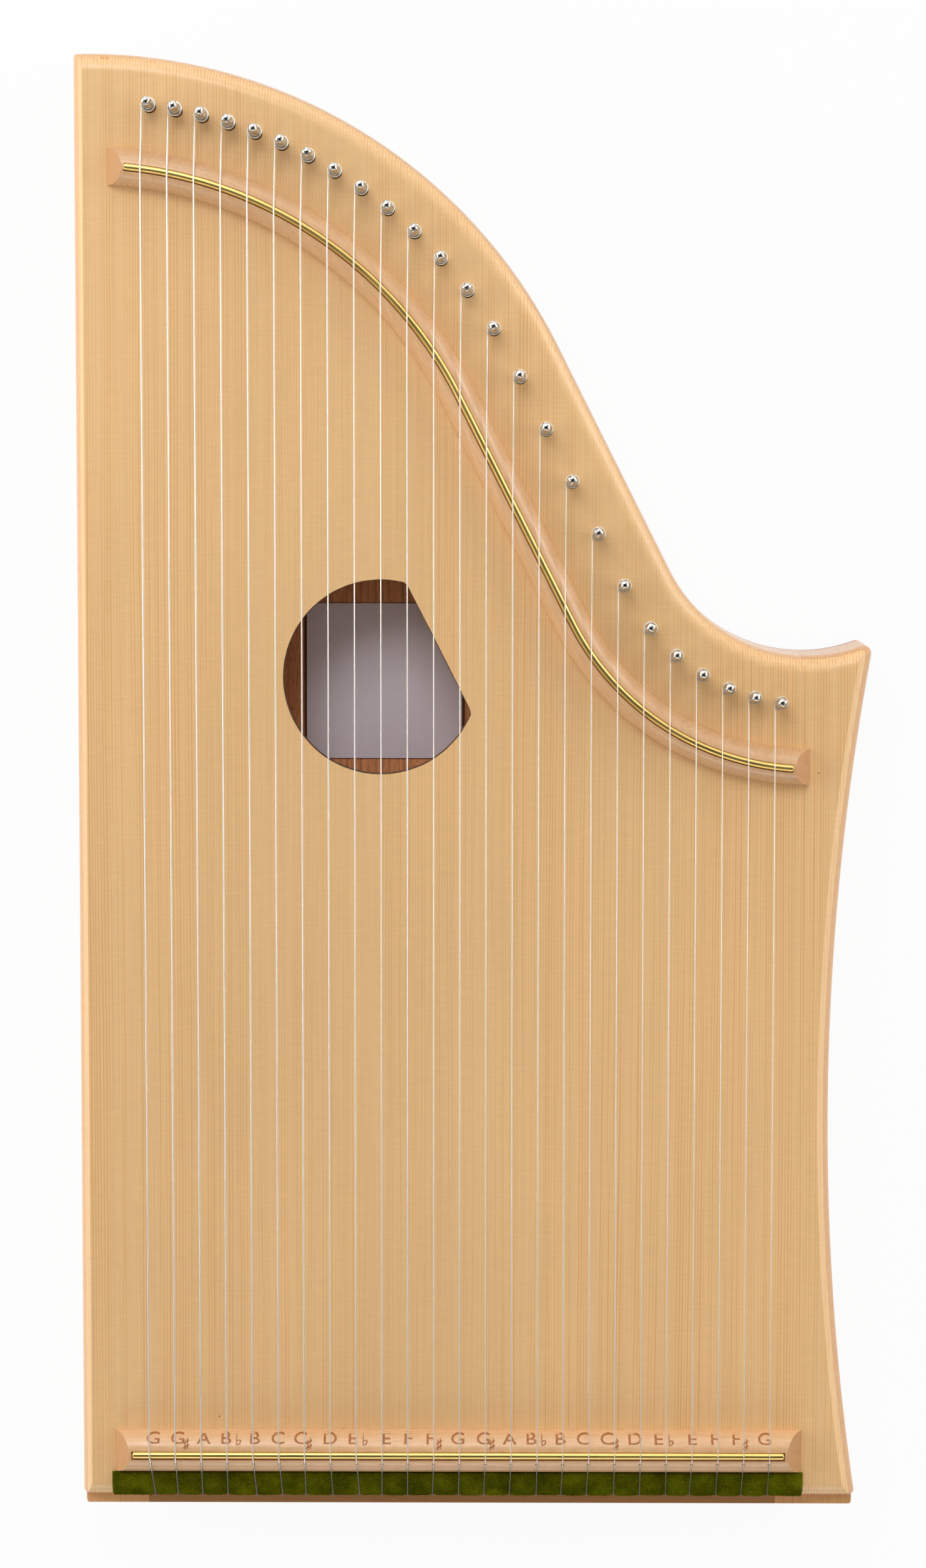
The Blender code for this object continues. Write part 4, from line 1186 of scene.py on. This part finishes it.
def felt_length(x):
    """How far down the felt reaches at x: pinched in at the strings, ragged between them."""
    full = FELT_FLAT + FELT_WRAP * (EDGE_RADIUS + FELT_THICKNESS / 2)
    apart = nearest_string(x, full)
    pinch = 0.0005 * math.exp(-((apart / 0.0016) ** 2))
    rag = noise.noise((x * 420, 0.3, 0.0)) * 0.00025 + noise.noise((x * 60, 7.0, 0.0)) * 0.0004
    return full + 0.0002 - pinch + rag


def felt_height(x, share, along):
    """Thickness of the felt, rounded at its free edges and pressed down under the strings."""
    left, right = felt_ends()
    edge = min((1 - share) * felt_length(x), x - left, right - x) / 0.0011
    rounded = math.sqrt(max(1 - max(1 - edge, 0.0) ** 2, 0.0)) * 0.75 + 0.25
    apart = nearest_string(x, along)
    press = 0.00035 * math.exp(-((apart / 0.0011) ** 2))
    rough = noise.noise((x * 900, along * 900, 0.0)) * 0.00012
    return (FELT_THICKNESS + 0.0003 + rough) * rounded - press


def build_felt(work):
    left, right = felt_ends()
    bmesh.ops.create_grid(work, x_segments=500, y_segments=16, size=1.0)
    shares = {}
    for corner in work.verts:
        share = (1 - corner.co.y) / 2
        x = left + (right - left) * (corner.co.x + 1) / 2
        shares[corner] = (x, share, share * felt_length(x))
    extruded = bmesh.ops.extrude_face_region(work, geom=work.faces[:])["geom"]
    upper = [item for item in extruded if isinstance(item, bmesh.types.BMVert)]
    places = {(round(v.co.x, 6), round(v.co.y, 6)): shares[v] for v in shares}
    for corner in upper:
        x, share, along = places[(round(corner.co.x, 6), round(corner.co.y, 6))]
        corner.co = felt_point(x, along, felt_height(x, share, along))
    for corner, (x, share, along) in shares.items():
        corner.co = felt_point(x, along, 0.0)


def build_felt_nap(work):
    """Loose fibres on the felt, each a thin three-sided spike."""
    seeded = random.Random(11)
    left, right = felt_ends()
    nap = sizes().felt_nap
    for i in range(NAP_FIBRES):
        x = seeded.uniform(left, right)
        share = 1 - seeded.random() ** 2.2
        along = share * felt_length(x)
        height = felt_height(x, share, along)
        root = felt_point(x, along, height - 0.0002)
        outwards = (felt_point(x, along, height) - root).normalized()
        lean = Vector([seeded.uniform(-1, 1) for axis in range(3)])
        way = (outwards * 0.5 + lean + Vector((0, -0.7 * share, 0))).normalized()
        length = nap * seeded.uniform(0.6, 1.3)
        turn = Vector((0, 0, 1)).rotation_difference(way).to_matrix().to_4x4()
        bmesh.ops.create_cone(
            work, cap_ends=True, segments=3, radius1=0.00007, radius2=0.00002, depth=length,
            matrix=Matrix.Translation(root + way * length / 2) @ turn,
        )


# ---- Pins and strings ----


def rounded_square(half, corner, z):
    """Twenty-four points of a square with rounded corners, flats facing x and y."""
    points = []
    for quarter in range(4):
        middle = math.pi / 4 + quarter * math.pi / 2
        cx = (half - corner) * math.sqrt(2) * math.cos(middle)
        cy = (half - corner) * math.sqrt(2) * math.sin(middle)
        for i in range(6):
            turn = middle - math.pi / 4 + math.pi / 2 * i / 5
            points.append((cx + corner * math.cos(turn), cy + corner * math.sin(turn), z))
    return points


def round_ring(radius, z):
    """Twenty-four points of a circle that line up with the rounded square's."""
    points = []
    for quarter in range(4):
        for i in range(6):
            spread = math.pi / 2 * (0.12 + 0.76 * i / 5)
            turn = quarter * math.pi / 2 + spread
            points.append((radius * math.cos(turn), radius * math.sin(turn), z))
    return points


def build_pin(work):
    """Turned shank whose flats fade into a tapered square head with a low domed top."""
    rings = [
        round_ring(PIN_RADIUS * 0.8, -PIN_DEPTH),
        round_ring(PIN_RADIUS, -PIN_DEPTH + 0.0008),
        round_ring(PIN_RADIUS, 0.0082),
    ]
    rings += [rounded_square(*section) for section in HEAD_SECTIONS]
    for i in range(8):
        turn = math.pi / 2 * (0.06 + 0.9 * i / 7)
        half = DOME_HALF_WIDTH * math.cos(turn)
        height = PIN_REACH - DOME_HEIGHT * (1 - math.sin(turn))
        rings.append(rounded_square(half, half * (0.36 + 0.09 * i), height))
    add_skin(work, rings)


def winding(index, steps):
    """Points of the turns on the pin, from the string's arrival upwards."""
    reach = PIN_RADIUS + WRAP_TOUCH + wire_radius(index)
    climb = gauge(index) + WRAP_GAP
    frame_of_pin = pin_frame(index)
    count = round(WRAP_TURNS * steps)
    points = []
    for i in range(count + 1):
        turned = WRAP_TURNS * i / count
        angle = math.pi - 2 * math.pi * turned
        local = (reach * math.cos(angle), reach * math.sin(angle), WRAP_HEIGHT + climb * turned)
        points.append(frame_of_pin @ Vector(local))
    return points


def string_route(index):
    """The whole string as (point, thickness share) pairs, from its ball end to its last turn."""
    x = string_x_at(index, TAIL_LEDGE)
    radius = wire_radius(index)
    ball = BALL_RADIUS / radius
    route = [
        ((x, TAIL_LEDGE, BALL_HEIGHT - BALL_LENGTH), ball * 0.8),
        ((x, TAIL_LEDGE, BALL_HEIGHT - BALL_LENGTH + 0.0003), ball),
        ((x, TAIL_LEDGE, BALL_HEIGHT - BALL_RADIUS / 3), ball),
        ((x, TAIL_LEDGE, BALL_HEIGHT), 1.0),
    ]
    fall = fall_angle(radius)
    felt_reach = EDGE_RADIUS + CAD_GAP + FELT_THICKNESS + CAD_GAP + radius
    over_felt = []
    for i in range(7):
        angle = STRING_FALL + (fall - STRING_FALL) * i / 6
        y = TAIL_LEDGE + EDGE_RADIUS - felt_reach * math.sin(angle)
        z = ROUND_BASE + felt_reach * math.cos(angle)
        over_felt.append(((string_x_at(index, y), y, z), 1.0))
    route.append(((x, TAIL_LEDGE, ROUND_BASE + 0.0015), 1.0))
    route.append(((x, TAIL_LEDGE + 0.0006, ROUND_BASE + 0.0062), 1.0))
    route += over_felt
    rod_reach = ROD_RADIUS + CAD_GAP / 2 + radius
    for i in range(6):
        angle = fall * (1 - i / 5)
        y = LOWER_BRIDGE_Y - rod_reach * math.sin(angle)
        z = ROD_Z + rod_reach * math.cos(angle)
        route.append(((string_x_at(index, y), y, z), 1.0))
    x = string_x(index)
    route.append(((x, edge_y(x, UPPER_BRIDGE_INSET), ROD_Z + rod_reach), 1.0))
    return route + [(tuple(point), 1.0) for point in winding(index, 24)]


def wire_end_route(index):
    """The cut end of the wire that stands out of the pin above the last turn."""
    climb = (gauge(index) + WRAP_GAP) * WRAP_TURNS
    frame_of_pin = pin_frame(index)
    turn = math.radians(WIRE_END_TURNS[index])
    way = Vector((math.cos(turn), math.sin(turn), WIRE_END_SLOPE))
    height = Vector((0.0, 0.0, WRAP_HEIGHT + climb + WIRE_END_LIFT))
    reaches = (PIN_RADIUS - 0.0002, PIN_RADIUS + WIRE_END_REACH)
    return [(tuple(frame_of_pin @ (height + way * reach)), 1.0) for reach in reaches]


# ---- Operators ----


class HARP_OT_stage(bpy.types.Operator):
    """Sets the camera, the soft studio light and the white floor"""

    bl_idname = "harp.stage"
    bl_label = "Stage"

    def execute(self, context):
        scene = context.scene
        scene.view_settings.view_transform = "Standard"
        lens = bpy.data.cameras.new("picture_camera")
        lens.sensor_fit = "VERTICAL"
        lens.sensor_height = 36.0
        lens.lens = 36.0 * FOCAL_PIXELS / PICTURE[1]
        lens.clip_end = 20.0
        camera = bpy.data.objects.new("picture_camera", lens)
        scene.collection.objects.link(camera)
        tilt = Matrix.Rotation(CAMERA_TILT, 4, "X") @ Matrix.Rotation(CAMERA_ROLL, 4, "Z")
        camera.matrix_world = Matrix.Translation(Vector(CAMERA_PLACE) + CORNER) @ tilt
        scene.camera = camera

        def build_floor(work):
            bmesh.ops.create_grid(work, x_segments=1, y_segments=1, size=FLOOR_HALF_WIDTH)

        mesh = mesh_from("floor", build_floor, Vector((0.0, 0.0, -0.0002)))
        mesh.materials.append(studio_floor())
        floor = bpy.data.objects.new("floor", mesh)
        scene.collection.objects.link(floor)
        for name, place, size, power in LAMPS:
            self.add_lamp(scene, name, place, size, power)
        scene.world = self.studio_world()
        return {"FINISHED"}

    def studio_world(self):
        """Even warm light; glossy surfaces see white screens between dark floor and ceiling."""
        world = bpy.data.worlds.new("studio")
        world.use_nodes = True
        tree = world.node_tree
        even = tree.nodes["Background"]
        even.inputs["Color"].default_value = (*linear("#FFF7EC"), 1.0)
        even.inputs["Strength"].default_value = 0.32
        facing = add_node(tree, "ShaderNodeTexCoord").outputs["Generated"]
        axes = add_node(tree, "ShaderNodeSeparateXYZ", {0: facing})
        shade = add_node(
            tree, "ShaderNodeValToRGB", {"Fac": axes.outputs["Z"]},
            stops=(
                (0.02, (0.04, 0.04, 0.04, 1.0)),
                (0.22, (1.0, 1.0, 1.0, 1.0)),
                (0.60, (1.0, 1.0, 1.0, 1.0)),
                (0.82, (0.35, 0.35, 0.35, 1.0)),
                (0.93, (0.02, 0.02, 0.02, 1.0)),
            ),
        ).outputs[0]
        reach = add_node(
            tree, "ShaderNodeMapRange",
            {"Value": axes.outputs["Y"], 1: -0.45, 2: -0.05, 3: 0.4, 4: 1.15},
        ).outputs[0]
        mirrored = add_node(tree, "ShaderNodeBackground", {"Color": shade, "Strength": reach})
        path = add_node(tree, "ShaderNodeLightPath")
        both = add_node(
            tree, "ShaderNodeMixShader",
            {0: path.outputs["Is Glossy Ray"], 1: even.outputs[0], 2: mirrored.outputs[0]},
        ).outputs[0]
        backdrop = add_node(
            tree, "ShaderNodeBackground", {"Color": (1.0, 1.0, 1.0, 1.0), "Strength": 1.0}
        )
        shown = add_node(
            tree, "ShaderNodeMixShader",
            {0: path.outputs["Is Camera Ray"], 1: both, 2: backdrop.outputs[0]},
        ).outputs[0]
        tree.links.new(shown, tree.nodes["World Output"].inputs["Surface"])
        return world

    def add_lamp(self, scene, name, place, size, power):
        lamp = bpy.data.lights.new(name, "AREA")
        lamp.shape = "RECTANGLE"
        lamp.size, lamp.size_y = size
        lamp.energy = power
        lamp.color = linear("#FAFCFF")
        holder = bpy.data.objects.new(name, lamp)
        scene.collection.objects.link(holder)
        aim = (-Vector(place)).to_track_quat("-Z", "Y").to_matrix().to_4x4()
        holder.matrix_world = Matrix.Translation(place) @ aim


class HARP_OT_soundboard(bpy.types.Operator):
    """Builds the spruce soundboard and dresses the brace under it"""

    bl_idname = "harp.soundboard"
    bl_label = "Soundboard"

    def execute(self, context):
        spruce = quartersawn_spruce()
        finished(
            "fine_soundboard", mesh_from("fine_soundboard", build_soundboard),
            [spruce, charred_edge()], replaces=["soundboard"],
        )
        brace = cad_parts["soundboard_brace"]
        turn = -math.atan2(DOWNHILL.y, DOWNHILL.x) - math.pi / 2
        look = finishes()
        bar = grained_wood(
            "split spruce bar", look.spruce_pale, look.spruce_dark, sizes().ring_width,
            turn=turn, seed=0.2,
        )
        for entry in brace.material_slots:
            entry.material = bar
        return {"FINISHED"}


class HARP_OT_back(bpy.types.Operator):
    """Builds the back board and the bare label that is glued inside"""

    bl_idname = "harp.back"
    bl_label = "Back board and label"

    def execute(self, context):
        mesh = mesh_from("fine_back_board", build_back)
        for face in mesh.polygons:
            if face.normal.z < 0.5:
                face.material_index = 1
        # The inside face keeps the lifted colour, painted light for the dim hollow; the edges and
        # the underside get the darker copy
        woods = [
            mahogany_board("mahogany lifted as painted light"),
            mahogany_board("darkened mahogany", (0.5, 0.38, 0.34)),
        ]
        finished("fine_back_board", mesh, woods, replaces=["back_board"])
        width, length = LABEL_SIZE
        paper = laid_paper("uncoated paper", finishes().paper, 0.85)
        card = laid_paper("brown card", linear("#5C3722"), 0.8)
        sheets = (
            ("label_card", width + 2 * LABEL_CARD_MARGIN, length, 0.0, card),
            ("label", width, length - 0.0004, SHEET_THICKNESS, paper),
        )
        for name, wide, long, lift, finish in sheets:

            def build(work, wide=wide, long=long, lift=lift):
                middle = (*LABEL_CENTRE, BACK_THICKNESS + lift + 0.00018)
                shape = Matrix.Diagonal((wide, long, SHEET_THICKNESS, 1.0))
                bmesh.ops.create_cube(work, size=1.0, matrix=Matrix.Translation(middle) @ shape)
                bmesh.ops.bevel(
                    work, geom=work.edges[:], offset=0.00005, segments=1, profile=0.5,
                    affect="EDGES", material=-1,
                )

            finished(name, mesh_from(name, build), [finish])
        return {"FINISHED"}


class HARP_OT_rim(bpy.types.Operator):
    """Builds the left bar, the tail block, the right bar and the pin block"""

    bl_idname = "harp.rim"
    bl_label = "Rim and pin block"

    def execute(self, context):
        # Last column: one beech toned into lit and shaded copies as painted light and shade; the
        # tail block is darkened as painted shade on the ledge under the body and felt, and the side
        # bars are tinted to the light and shade on their rounded edges and ledge ends
        bars = (
            ("left_bar", build_left_bar, 0.0, 0.3, ["side_frame"], (1.05, 0.98, 0.84)),
            ("tail_block", build_tail_block, math.pi / 2, 0.9, ["side_frame"], (0.62, 0.52, 0.38)),
            ("right_bar", build_right_bar, 0.0, 1.7, ["side_frame"], (0.97, 0.89, 0.76)),
            ("fine_pin_block", build_pin_block, math.radians(55), 2.3, ["pin_block"], (1, 1, 1)),
        )
        for name, build, turn, seed, nodes, tone in bars:
            beech = oiled_beech(f"oiled beech {name}", turn, seed, tone)
            finished(name, mesh_from(name, build), [beech], replaces=nodes)
        return {"FINISHED"}


class HARP_OT_bridges(bpy.types.Operator):
    """Builds both bridges with their slots and brass rods"""

    bl_idname = "harp.bridges"
    bl_label = "Bridges and rods"

    def execute(self, context):
        brass = drawn_brass()
        end_grain = beech_end_grain()
        spare = BRIDGE_END_RUN / 2
        inset = BRIDGE_END_RUN + SLOT_END_STEP

        def upper(left, right, steps=None):
            return edge_path(UPPER_BRIDGE_INSET, left, right)

        def lower(left, right, steps=1):
            way = right - left
            return [(left + way * i / steps, LOWER_BRIDGE_Y) for i in range(steps + 1)]

        rows = (
            ("upper", UPPER_BRIDGE_ENDS, UPPER_BRIDGE_WIDTH, upper, math.radians(-32), 3.1, []),
            ("lower", LOWER_BRIDGE_ENDS, LOWER_BRIDGE_WIDTH, lower, math.pi / 2, 4.2,
             [notch_mesh]),
        )
        bridges = zip(rows, SLOT_SLACKS, ROD_END_GAPS)
        for (side, ends, width, path, turn, seed, extra), slack, rod_gap in bridges:
            left, right = ends
            route = path(left - spare, right + spare, 40)
            whole = moulding_mesh(f"{side}_whole", route, width, ends)
            slot = slot_mesh(f"{side}_slot", path(left + inset, right - inset), slack)
            bridge = carved(whole, [slot] + [cutter() for cutter in extra])
            mark_ends(bridge)
            beech = oiled_beech(f"steamed beech {side} bridge", turn, seed, end_shade=0.1)
            finished(
                f"fine_{side}_bridge", bridge, [beech, end_grain],
                replaces=[f"{side}_bridge"],
            )
            gap = inset + rod_gap
            rod = rod_mesh("rod", path(left + gap, right - gap))
            finished(f"fine_{side}_rod", rod, [brass], replaces=[f"{side}_bridge_rod"])
        return {"FINISHED"}


class HARP_OT_notes(bpy.types.Operator):
    """Burns the note names into the lower bridge"""

    bl_idname = "harp.notes"
    bl_label = "Note names"

    def execute(self, context):
        finished("note_names", mesh_from("note_names", build_note_names), [burnt_line()])
        return {"FINISHED"}


class HARP_OT_felt(bpy.types.Operator):
    """Lays the felt strip with its loose nap over the tail edge"""

    bl_idname = "harp.felt"
    bl_label = "Felt"

    def execute(self, context):
        wool = wool_felt()
        strip = finished(
            "wool_strip", mesh_from("wool_strip", build_felt), [wool],
            replaces=["felt_strip"], sharp=180,
        )
        nap = finished("wool_nap", mesh_from("wool_nap", build_felt_nap), [wool])
        return {"FINISHED"}


class HARP_OT_pins(bpy.types.Operator):
    """Builds the tuning pins and the cut wire ends in them"""

    bl_idname = "harp.pins"
    bl_label = "Tuning pins"

    def execute(self, context):
        nickel = nickel_plate()
        wire = music_wire()
        for index in range(STRING_COUNT):
            number = f"{index + 1:02d}"
            body = f"tuning_pin_{number}"
            spin = Matrix.Rotation(math.radians(PIN_TURNS[index]), 4, "Z")
            place = Matrix.Translation(CORNER) @ pin_frame(index) @ spin
            mesh = mesh_from(f"pin_{number}", build_pin, Vector())
            mesh.transform(place)
            finished(f"pin_{number}", mesh, [nickel], body, [body])
            thin = wire_radius(index) * WIRE_END_SHARE
            end = wire_mesh("wire_end", wire_end_route(index), thin, 6)
            finished(f"wire_end_{number}", end, [wire], body)
        return {"FINISHED"}


class HARP_OT_strings(bpy.types.Operator):
    """Strings the harp from the ball ends to the turns on the pins"""

    bl_idname = "harp.strings"
    bl_label = "Strings"

    def execute(self, context):
        wire = music_wire()
        for index in range(STRING_COUNT):
            number = f"{index + 1:02d}"
            mesh = wire_mesh("string", string_route(index), wire_radius(index), 8)
            finished(
                f"fine_string_{number}", mesh, [wire],
                replaces=[f"string_{number}"], sharp=60,
            )
        return {"FINISHED"}


STEPS = (
    "stage", "soundboard", "back", "rim", "bridges", "notes", "felt", "pins", "strings",
)


class HARP_PT_panel(bpy.types.Panel):
    """Lists the harp's steps, sizes and finishes"""

    bl_idname = "HARP_PT_panel"
    bl_label = "Table Harp"
    bl_space_type = "VIEW_3D"
    bl_region_type = "UI"
    bl_category = "Harp"

    def draw(self, context):
        layout = self.layout
        for step in STEPS:
            layout.operator(f"harp.{step}")
        for group in (context.scene.harp_sizes, context.scene.harp_finishes):
            for name in group.__annotations__:
                layout.prop(group, name)


CLASSES = (
    HarpSizes, HarpFinishes, HARP_OT_stage, HARP_OT_soundboard, HARP_OT_back, HARP_OT_rim,
    HARP_OT_bridges, HARP_OT_notes, HARP_OT_felt, HARP_OT_pins, HARP_OT_strings, HARP_PT_panel,
)


def register():
    for entry in CLASSES:
        bpy.utils.register_class(entry)
    bpy.types.Scene.harp_sizes = bpy.props.PointerProperty(type=HarpSizes)
    bpy.types.Scene.harp_finishes = bpy.props.PointerProperty(type=HarpFinishes)


def unregister():
    del bpy.types.Scene.harp_finishes
    del bpy.types.Scene.harp_sizes
    for entry in reversed(CLASSES):
        bpy.utils.unregister_class(entry)


def main():
    register()
    for step in STEPS:
        getattr(bpy.ops.harp, step)()


if __name__ == "__main__":
    main()
